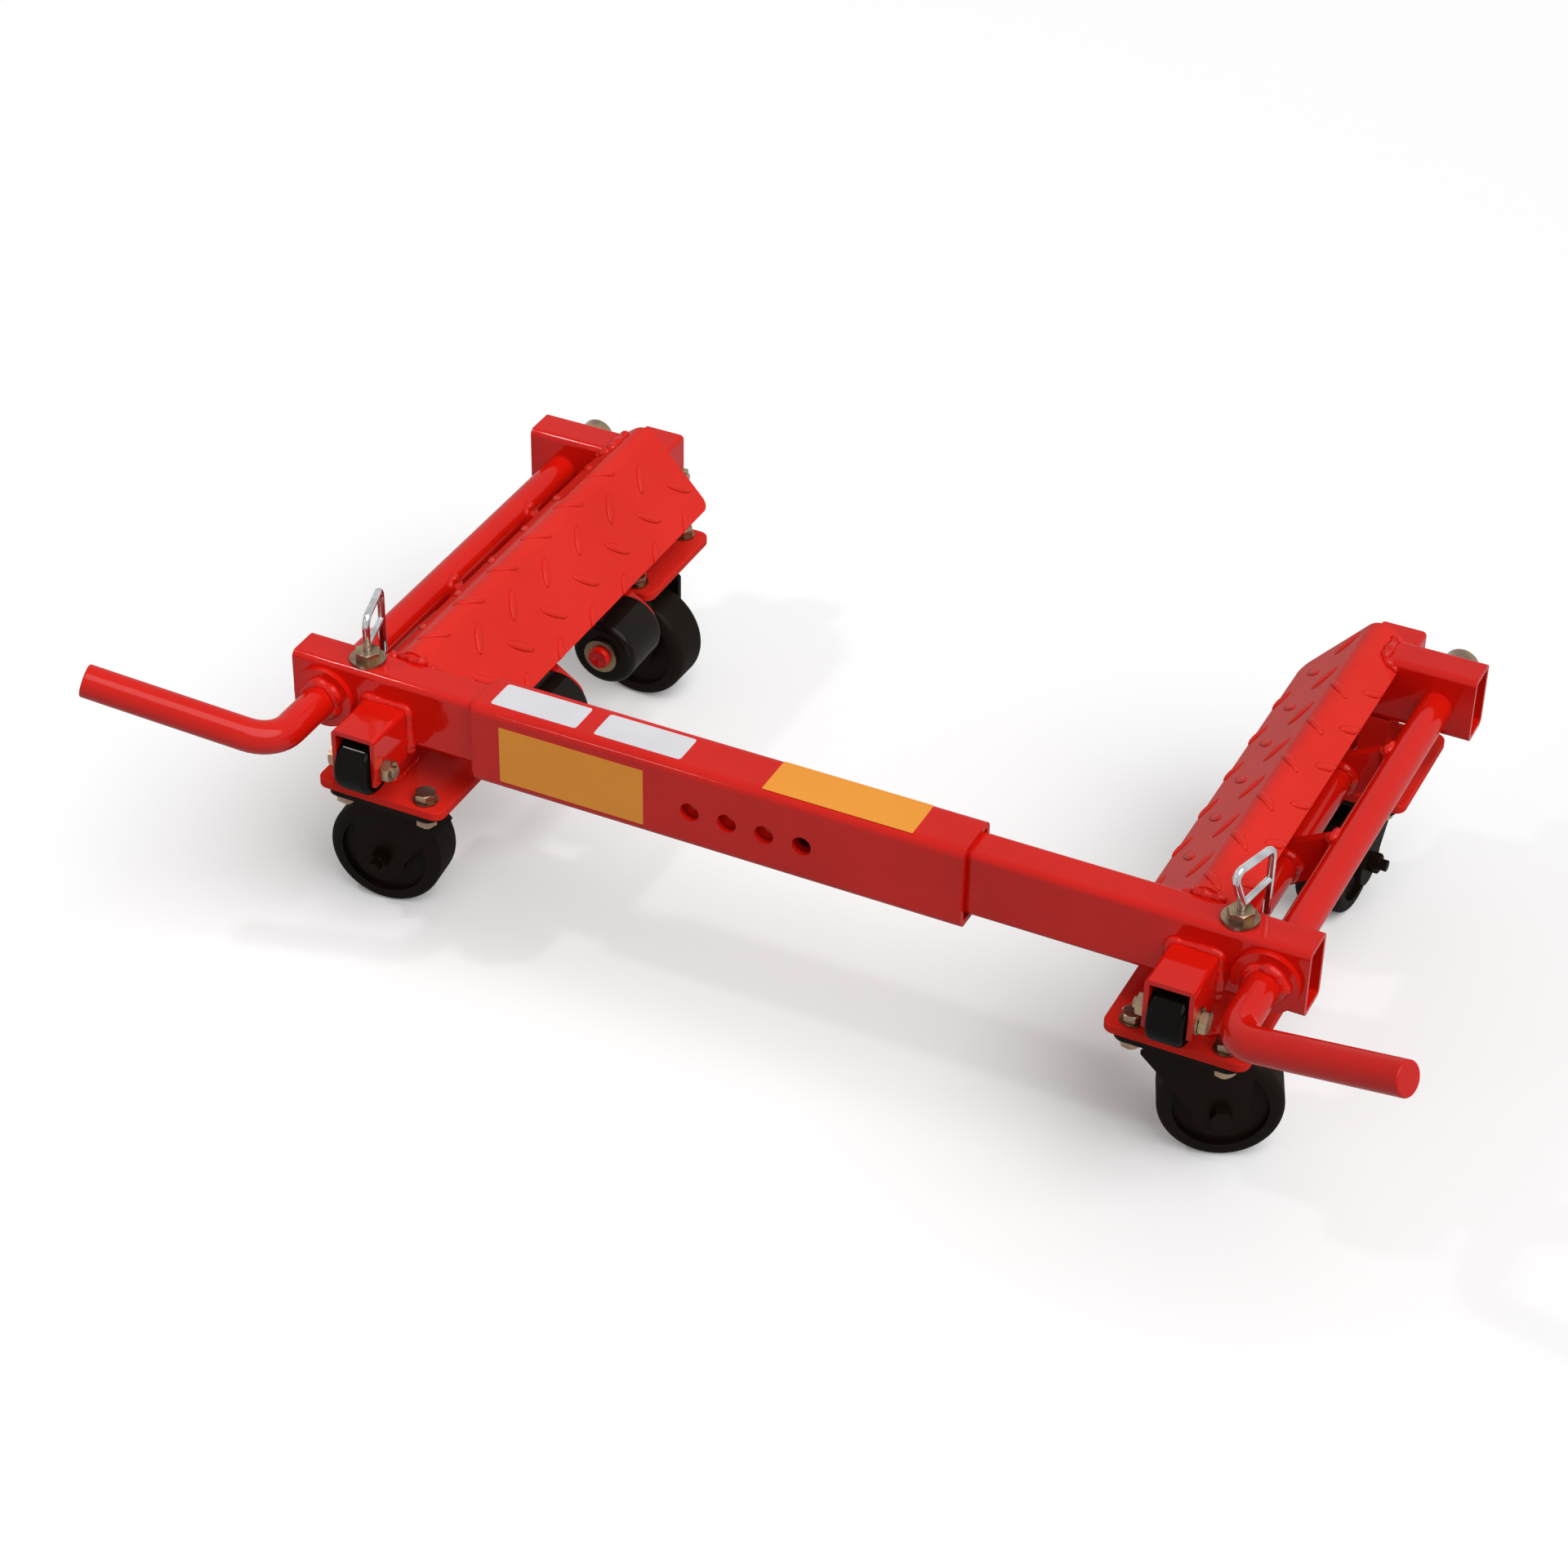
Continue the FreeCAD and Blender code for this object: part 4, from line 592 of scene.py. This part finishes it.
class DOLLY_OT_tread_lugs(bpy.types.Operator):
    """Raises the slanted lugs on both tread plates"""
    bl_idname = "dolly.tread_lugs"
    bl_label = "Tread lugs"

    @staticmethod
    def runs():
        """Widths of the plate's flat face, its bend and its flat flange, and the bend's whole turn."""
        tread = bpy.context.scene.dolly_tread
        whole_turn = math.pi / 2 - tread.opened
        tangent = tread.bend * math.tan(whole_turn / 2)
        return tread.face - tangent, tread.bend * whole_turn, tread.flange - tangent, whole_turn

    @classmethod
    def section(cls, across):
        """The plate's outer surface by distance from the inner edge: a straight face, a round bend, a flange.

        Gives the point from the sharp crest and the outward normal, with the face along -X and Z up from it.
        """
        tread = bpy.context.scene.dolly_tread
        flat, arc, flange, whole_turn = cls.runs()
        on_face = np.clip(across, 0, flat)
        turn = np.clip((across - flat) / tread.bend, 0, whole_turn)
        on_flange = np.clip(across - flat - arc, 0, flange)
        normal = np.stack([np.sin(turn), np.cos(turn)], axis=-1)
        x = on_face - tread.face + tread.bend * np.sin(turn) + on_flange * math.cos(whole_turn)
        z = tread.bend * (np.cos(turn) - 1) - on_flange * math.sin(whole_turn)
        return np.stack([x, z], axis=-1), normal

    @classmethod
    def on_plate(cls, side, along, across, height):
        """Carries (along the plate, across it, above it) into the model's frame on one carriage."""
        tread = bpy.context.scene.dolly_tread
        flat_point, flat_normal = cls.section(across)
        flat = flat_point + flat_normal * np.asarray(height)[..., None]
        lean, rise = math.cos(tread.slope), math.sin(tread.slope)
        x = tread.crest_out + flat[..., 0] * lean - flat[..., 1] * rise
        z = AXIS_Z + tread.crest_rise + flat[..., 0] * rise + flat[..., 1] * lean
        return np.stack([MIDDLE_X + side * x, np.broadcast_to(along, x.shape), z], axis=-1)

    def centres(self, side, low, high, flange_end):
        """Places and slants of the lugs: rows a pitch apart, each shifted and slanted against the last."""
        tread = bpy.context.scene.dolly_tread
        flat, arc = self.runs()[:2]
        bend_middle = flat + arc / 2
        start = tread.start_left if side < 0 else tread.start_right
        row, number = np.meshgrid(LUG_ROWS, LUG_NUMBERS, indexing="ij")
        along = FRONT_Y + start + row * tread.row_shift + number * tread.lug_pitch
        across = bend_middle - row * tread.row_pitch
        slant = np.where(row % 2 == 0, tread.lug_turn, np.pi - tread.lug_turn)
        reach = tread.lug_length / 2 * math.cos(tread.lug_turn)
        last = np.where(row > 0, high, flange_end)
        inside = (along - reach > low) & (along + reach < last)
        return along[inside], across[inside], slant[inside]

    @staticmethod
    def lug():
        """One lug's points (along it, across it, above the plate) from its middle, and its faces.

        It is a lens: its half width and its height follow the square root of one minus the squared
        distance along it, and its section is an arch above the plate and a shallow foot below.
        """
        tread = bpy.context.scene.dolly_tread
        rows = len(LUG_STATION_SHARES)
        turn = np.linspace(0, 2 * np.pi, LUG_SIDES, endpoint=False)
        fade = np.sqrt(1 - LUG_STATION_SHARES ** 2)
        lengthwise = np.broadcast_to(tread.lug_length / 2 * LUG_STATION_SHARES[:, None], (rows, LUG_SIDES))
        crosswise = tread.lug_width / 2 * fade[:, None] * np.cos(turn)
        depth = np.where(np.sin(turn) > 0, tread.lug_height, tread.lug_sink)
        height = fade[:, None] * depth * np.sin(turn)
        tips = np.array([-1.0, 1.0]) * tread.lug_length / 2
        ends = np.zeros(2)
        points = [np.concatenate(pair) for pair in
                  ((lengthwise.ravel(), tips), (crosswise.ravel(), ends), (height.ravel(), ends))]
        first_tip = rows * LUG_SIDES
        return points, [ring_faces(rows, LUG_SIDES), cap_faces(rows, LUG_SIDES, first_tip, first_tip + 1)]

    def execute(self, context):
        (lengthwise, crosswise, height), faces = self.lug()
        for label, (side, body) in SIDES.items():
            low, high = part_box(f"tread_plate_{label}")
            flange_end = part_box(f"rear_tube_{label}")[0].y
            shells = []
            for along, across, slant in zip(*self.centres(side, low.y, high.y, flange_end)):
                plate_along = along + lengthwise * math.cos(slant) + crosswise * math.sin(slant)
                plate_across = across - lengthwise * math.sin(slant) + crosswise * math.cos(slant)
                shells.append((self.on_plate(side, plate_along, plate_across, height), faces))
            piece(f"tread_lugs_{label}", shells, body, finish("tread_enamel"))
        return {"FINISHED"}


class DOLLY_OT_weld_beads(bpy.types.Operator):
    """Lays the weld beads between the frame's pieces"""
    bl_idname = "dolly.weld_beads"
    bl_label = "Weld beads"

    def bracket_welds(self, label, weld):
        """Beads over the top and down both sides of each roller bracket, on the tube's face."""
        shells = []
        for end in ENDS:
            low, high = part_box(f"roller_bracket_{end}_{label}")
            face, out = (high.y, -1) if end == "front" else (low.y, 1)
            corners = [(low.x, face, low.z), (low.x, face, high.z), (high.x, face, high.z),
                       (high.x, face, low.z)]
            path = spread(corners, weld.step)
            centre = np.array([(low.x + high.x) / 2, face, (low.z + high.z) / 2])
            lean = unit(path - centre) + np.array([0, out, 0])
            shells.append(bead(path, lean, weld.fillet, phase=high.x + face))
        return shells

    def tread_welds(self, label, side, weld):
        """Beads where a tread plate meets the front tube, under its crest, and along the rear tube."""
        on_plate = DOLLY_OT_tread_lugs.on_plate
        low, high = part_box(f"tread_plate_{label}")
        tube_top = AXIS_Z + TUBE_HALF_HEIGHT
        flat, arc, flange = DOLLY_OT_tread_lugs.runs()[:3]
        across = np.linspace(0, flat + arc + flange, TREAD_SAMPLES)
        surface = on_plate(side, low.y, across, np.zeros_like(across))
        bent = flat + arc / 2
        shells = []
        inner = surface[(surface[:, 2] < tube_top) & (across < bent)]
        outer = surface[(surface[:, 2] < tube_top) & (across > bent)]
        for run, sign in ((inner, -side), (outer, side)):
            path = spread(run, weld.step)
            shells.append(bead(path, even((sign, 1, 1), path), weld.fillet, phase=run[0, 0]))
        path = spread([inner[-1], outer[0]], weld.step)
        shells.append(bead(path, even((0, -1, 1), path), weld.crest, phase=inner[-1, 0]))
        rear_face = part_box(f"rear_tube_{label}")[0].y
        path = spread(outer + np.array([0, rear_face - low.y, 0]), weld.step)
        shells.append(bead(path, even((side, -1, 1), path), weld.fillet, phase=rear_face))
        start = outer[0] * np.array([1, 0, 1]) + np.array([0, rear_face, 0])
        path = spread([start, start + np.array([0, 2 * TUBE_HALF_DEPTH, 0])], weld.step)
        shells.append(bead(path, even((side, 0, 1), path), weld.fillet, phase=rear_face))
        return shells

    def riser_welds(self, label, side, weld):
        """Beads round the foot of each riser on its mount plate."""
        shells = []
        for end in ENDS:
            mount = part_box(f"caster_mount_{end}_{label}")
            centre = np.array([(mount[0].x + mount[1].x) / 2 + side * weld.riser_out,
                               middle(f"{end}_tube_{label}").y, mount[0].z + weld.mount_plate])
            across, along = np.array([weld.riser_half, 0, 0]), np.array([0, TUBE_HALF_DEPTH, 0])
            corners = [centre - across - along, centre + across - along, centre + across + along,
                       centre - across + along]
            path = spread(corners, weld.step, closed=True)
            lean = unit(path - centre) + np.array([0, 0, 1.0])
            shells.append(bead(path, lean, weld.fillet, closed=True, phase=centre[0]))
        return shells

    def sleeve_weld(self, weld):
        """A thin bead round the fixed tube at the sleeve's end."""
        centre = np.array([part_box("sleeve")[0].x, FRONT_Y, AXIS_Z])
        depth, height = np.array([0, TUBE_HALF_DEPTH, 0]), np.array([0, 0, TUBE_HALF_HEIGHT])
        corners = [centre - depth - height, centre + depth - height, centre + depth + height,
                   centre - depth + height]
        path = spread(corners, weld.step, closed=True)
        lean = unit(path - centre) - np.array([1.0, 0, 0])
        return bead(path, lean, weld.seam, closed=True)

    def arm_weld(self, bar, arm_middle, weld):
        """A bead round a lift arm's root: a rounded rectangle wrapped on the lever bar's round surface."""
        reach = np.array([arm_middle.x - bar.x, arm_middle.z - bar.z])
        heading = math.atan2(reach[1], reach[0])
        half_turn = math.asin(weld.arm_root / 2 / weld.bar_radius) * weld.bar_radius
        half_plate = weld.arm_plate / 2
        flat = spread([(-half_turn, -half_plate), (half_turn, -half_plate), (half_turn, half_plate),
                       (-half_turn, half_plate)], weld.step, closed=True)
        turn = heading + flat[:, 0] / weld.bar_radius
        radial = np.stack([np.cos(turn), np.zeros(len(turn)), np.sin(turn)], axis=1)
        along = np.stack([np.zeros(len(turn)), flat[:, 1], np.zeros(len(turn))], axis=1)
        path = np.array([bar.x, arm_middle.y, bar.z]) + along + radial * weld.bar_radius
        return bead(path, radial + unit(along + radial * half_plate), weld.fillet, closed=True, phase=bar.x)

    def lever_welds(self, label, weld):
        """Beads on the lever: at its flange, at each arm's root, and round the tie bar at each arm."""
        bar = middle(f"tail_collar_{label}")
        flange_face = FRONT_Y - TUBE_HALF_DEPTH - weld.flange_out
        shells = [collar((bar.x, flange_face, bar.z), weld.bar_radius, -1, weld.collar, bar.x)]
        tie = middle(f"tie_bar_{label}")
        tie_radius = extent(f"tie_bar_{label}").x / 2
        for end in ENDS:
            plate_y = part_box(f"lift_arm_{end}_{label}")[1].y - weld.arm_plate / 2
            arm_middle = Vector((tie.x, plate_y, tie.z))
            shells.append(self.arm_weld(bar, arm_middle, weld))
            for sign in (-1, 1):
                face = plate_y + sign * weld.arm_plate / 2
                shells.append(collar((tie.x, face, tie.z), tie_radius, sign, weld.fillet, face))
        return shells

    def execute(self, context):
        weld = context.scene.dolly_weld
        for label, (side, body) in SIDES.items():
            shells = self.bracket_welds(label, weld) + self.tread_welds(label, side, weld)
            shells += self.riser_welds(label, side, weld)
            if label == "left":
                shells.append(self.sleeve_weld(weld))
            piece(f"frame_welds_{label}", shells, body, finish("red_enamel"))
            piece(f"lever_welds_{label}", self.lever_welds(label, weld), f"lever_{label}",
                  finish("red_enamel"))
        return {"FINISHED"}


class DOLLY_OT_labels(bpy.types.Operator):
    """Sticks the blank labels on the sleeve"""
    bl_idname = "dolly.labels"
    bl_label = "Blank labels"

    def sheet(self, name, centre, length, width, corner, upright, material):
        """A thin sheet with rounded corners: rings of one outline at its foot, its edge and its top."""
        label = bpy.context.scene.dolly_label
        turn = np.linspace(0, 2 * np.pi, LABEL_POINTS, endpoint=False)
        half_l, half_w = length / 2 - corner, width / 2 - corner
        across = np.clip(np.cos(turn) * LABEL_SQUARENESS, -1, 1) * half_l + np.cos(turn) * corner
        up = np.clip(np.sin(turn) * LABEL_SQUARENESS, -1, 1) * half_w + np.sin(turn) * corner
        rings = []
        for outline_share, height_share in LABEL_RING_SHARES:
            height = np.full_like(turn, label.thickness * height_share)
            rings.append(np.stack([across * outline_share, up * outline_share, height], axis=1))
        grid = np.concatenate(rings)
        poles = np.array([[0, 0, 0], [0, 0, label.thickness]])
        points = np.concatenate([grid, poles])
        if upright:
            points = points[:, [0, 2, 1]] * np.array([1, -1, 1])
        points = points + np.asarray(centre)
        faces = [ring_faces(len(rings), LABEL_POINTS),
                 cap_faces(len(rings), LABEL_POINTS, len(grid), len(grid) + 1)]
        piece(name, [(points, faces)], "base", material, smooth=False)

    def execute(self, context):
        label = context.scene.dolly_label
        low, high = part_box("sleeve")
        amber_corner = label.corner * AMBER_CORNER_SHARE
        for number, out in enumerate(label.pale_out, start=1):
            self.sheet(f"pale_label_{number}", (MIDDLE_X + out, FRONT_Y, high.z), *label.pale_size,
                       label.corner, False, finish("pale_label"))
        amber = finish("amber_label")
        top = (MIDDLE_X + label.amber_top_out, FRONT_Y, high.z)
        self.sheet("amber_label_top", top, *label.amber_top_size, amber_corner, False, amber)
        front = (MIDDLE_X + label.amber_front_out, low.y, AXIS_Z + label.amber_front_rise)
        self.sheet("amber_label_front", front, *label.amber_front_size, amber_corner, True, amber)
        return {"FINISHED"}


class DOLLY_OT_stage(bpy.types.Operator):
    """Makes the floor, the light and the camera"""
    bl_idname = "dolly.stage"
    bl_label = "Stage"

    def lamp(self, name, place, target, power, size):
        """A square soft lamp that faces a point."""
        data = bpy.data.lights.new(name, "AREA")
        data.energy = power
        data.size = size
        obj = bpy.data.objects.new(name, data)
        obj.location = place
        obj.rotation_euler = (Vector(target) - Vector(place)).to_track_quat("-Z", "Y").to_euler()
        bpy.context.scene.collection.objects.link(obj)

    def floor(self, stage):
        """A wide flat sheet at floor level."""
        half = stage.floor_size / 2
        corners = np.array([[-half, -half, 0], [half, -half, 0], [half, half, 0], [-half, half, 0]])
        mesh = bpy.data.meshes.new("floor")
        mesh.from_pydata(corners.tolist(), [], [(0, 1, 2, 3)])
        material, tree, shader = new_material("pale_floor")
        rays = tree.nodes.new("ShaderNodeLightPath")
        seen = shader_node(tree, "ShaderNodeMath", operation="MAXIMUM")
        tree.links.new(rays.outputs["Is Camera Ray"], seen.inputs[0])
        tree.links.new(rays.outputs["Is Glossy Ray"], seen.inputs[1])
        color = mix_colors(tree, seen.outputs[0], tuple(stage.floor_bounce), tuple(stage.floor_color))
        tree.links.new(color, shader.inputs["Base Color"])
        glow = mix_colors(tree, seen.outputs[0], BLACK, tuple(stage.floor_glow))
        tree.links.new(glow, shader.inputs["Emission Color"])
        shader.inputs["Emission Strength"].default_value = 1.0
        shader.inputs["Roughness"].default_value = 1.0
        shader.inputs["Specular IOR Level"].default_value = 0.0
        mesh.materials.append(material)
        obj = bpy.data.objects.new("floor", mesh)
        bpy.context.scene.collection.objects.link(obj)

    def sky(self, stage):
        """Even light from all round, which shows as white to the camera and in reflections."""
        world = bpy.data.worlds.new("studio")
        world.use_nodes = True
        tree = world.node_tree
        back = tree.nodes["Background"]
        back.inputs["Color"].default_value = WHITE
        rays = tree.nodes.new("ShaderNodeLightPath")
        shown = shader_node(tree, "ShaderNodeMath", operation="MAXIMUM")
        seen = shader_node(tree, "ShaderNodeMath", operation="MAXIMUM")
        tree.links.new(rays.outputs["Is Glossy Ray"], shown.inputs[0])
        tree.links.new(rays.outputs["Is Transmission Ray"], shown.inputs[1])
        tree.links.new(rays.outputs["Is Camera Ray"], seen.inputs[0])
        tree.links.new(shown.outputs[0], seen.inputs[1])
        strength = ramped(tree, seen.outputs[0], WHOLE, (stage.sky, 1.0))
        tree.links.new(strength, back.inputs["Strength"])
        bpy.context.scene.world = world

    def execute(self, context):
        stage = context.scene.dolly_stage
        self.floor(stage)
        self.sky(stage)
        target = (MIDDLE_X, (FRONT_Y + REAR_Y) / 2, AXIS_Z)
        light = bpy.data.lights.new("wide_light", "SUN")
        light.energy = stage.sun
        light.angle = stage.sun_spread
        wide = bpy.data.objects.new("wide_light", light)
        wide.rotation_euler = (-Vector(stage.sun_from)).to_track_quat("-Z", "Y").to_euler()
        context.scene.collection.objects.link(wide)
        self.lamp("overhead", stage.key_place, target, stage.key_power, stage.key_size)
        self.lamp("front", stage.fill_place, target, stage.fill_power, stage.fill_size)
        data = bpy.data.cameras.new("camera")
        data.lens = stage.lens
        data.sensor_width = stage.sensor
        data.clip_end = stage.floor_size
        camera = bpy.data.objects.new("camera", data)
        ahead, across = Vector(stage.ahead).normalized(), Vector(stage.across)
        across = (across - ahead * across.dot(ahead)).normalized()
        turn = Matrix((across, across.cross(ahead), -ahead)).transposed()
        eye = Vector(stage.eye) + Vector((MIDDLE_X, FRONT_Y, AXIS_Z))
        camera.matrix_world = Matrix.Translation(eye) @ turn.to_4x4()
        context.scene.collection.objects.link(camera)
        context.scene.camera = camera
        context.scene.view_settings.view_transform = "Standard"
        return {"FINISHED"}


OPERATORS = (DOLLY_OT_finishes, DOLLY_OT_tread_lugs, DOLLY_OT_weld_beads, DOLLY_OT_labels, DOLLY_OT_stage)


class DOLLY_PT_panel(bpy.types.Panel):
    """Lists the dolly's operators"""
    bl_idname = "DOLLY_PT_panel"
    bl_label = "Wheel Dolly"
    bl_space_type = "VIEW_3D"
    bl_region_type = "UI"
    bl_category = "Wheel Dolly"

    def draw(self, context):
        for operator in OPERATORS:
            self.layout.operator(operator.bl_idname)


def register():
    """Registers the settings, operators and panel."""
    for attribute, settings in SETTINGS.items():
        bpy.utils.register_class(settings)
        setattr(bpy.types.Scene, attribute, bpy.props.PointerProperty(type=settings))
    for made in OPERATORS + (DOLLY_PT_panel,):
        bpy.utils.register_class(made)


def unregister():
    """Removes what register adds."""
    for made in reversed(OPERATORS + (DOLLY_PT_panel,)):
        bpy.utils.unregister_class(made)
    for attribute, settings in SETTINGS.items():
        delattr(bpy.types.Scene, attribute)
        bpy.utils.unregister_class(settings)


def main():
    """Builds the looks in order."""
    register()
    bpy.ops.dolly.finishes()
    bpy.ops.dolly.tread_lugs()
    bpy.ops.dolly.weld_beads()
    bpy.ops.dolly.labels()
    bpy.ops.dolly.stage()


if __name__ == "__main__":
    main()
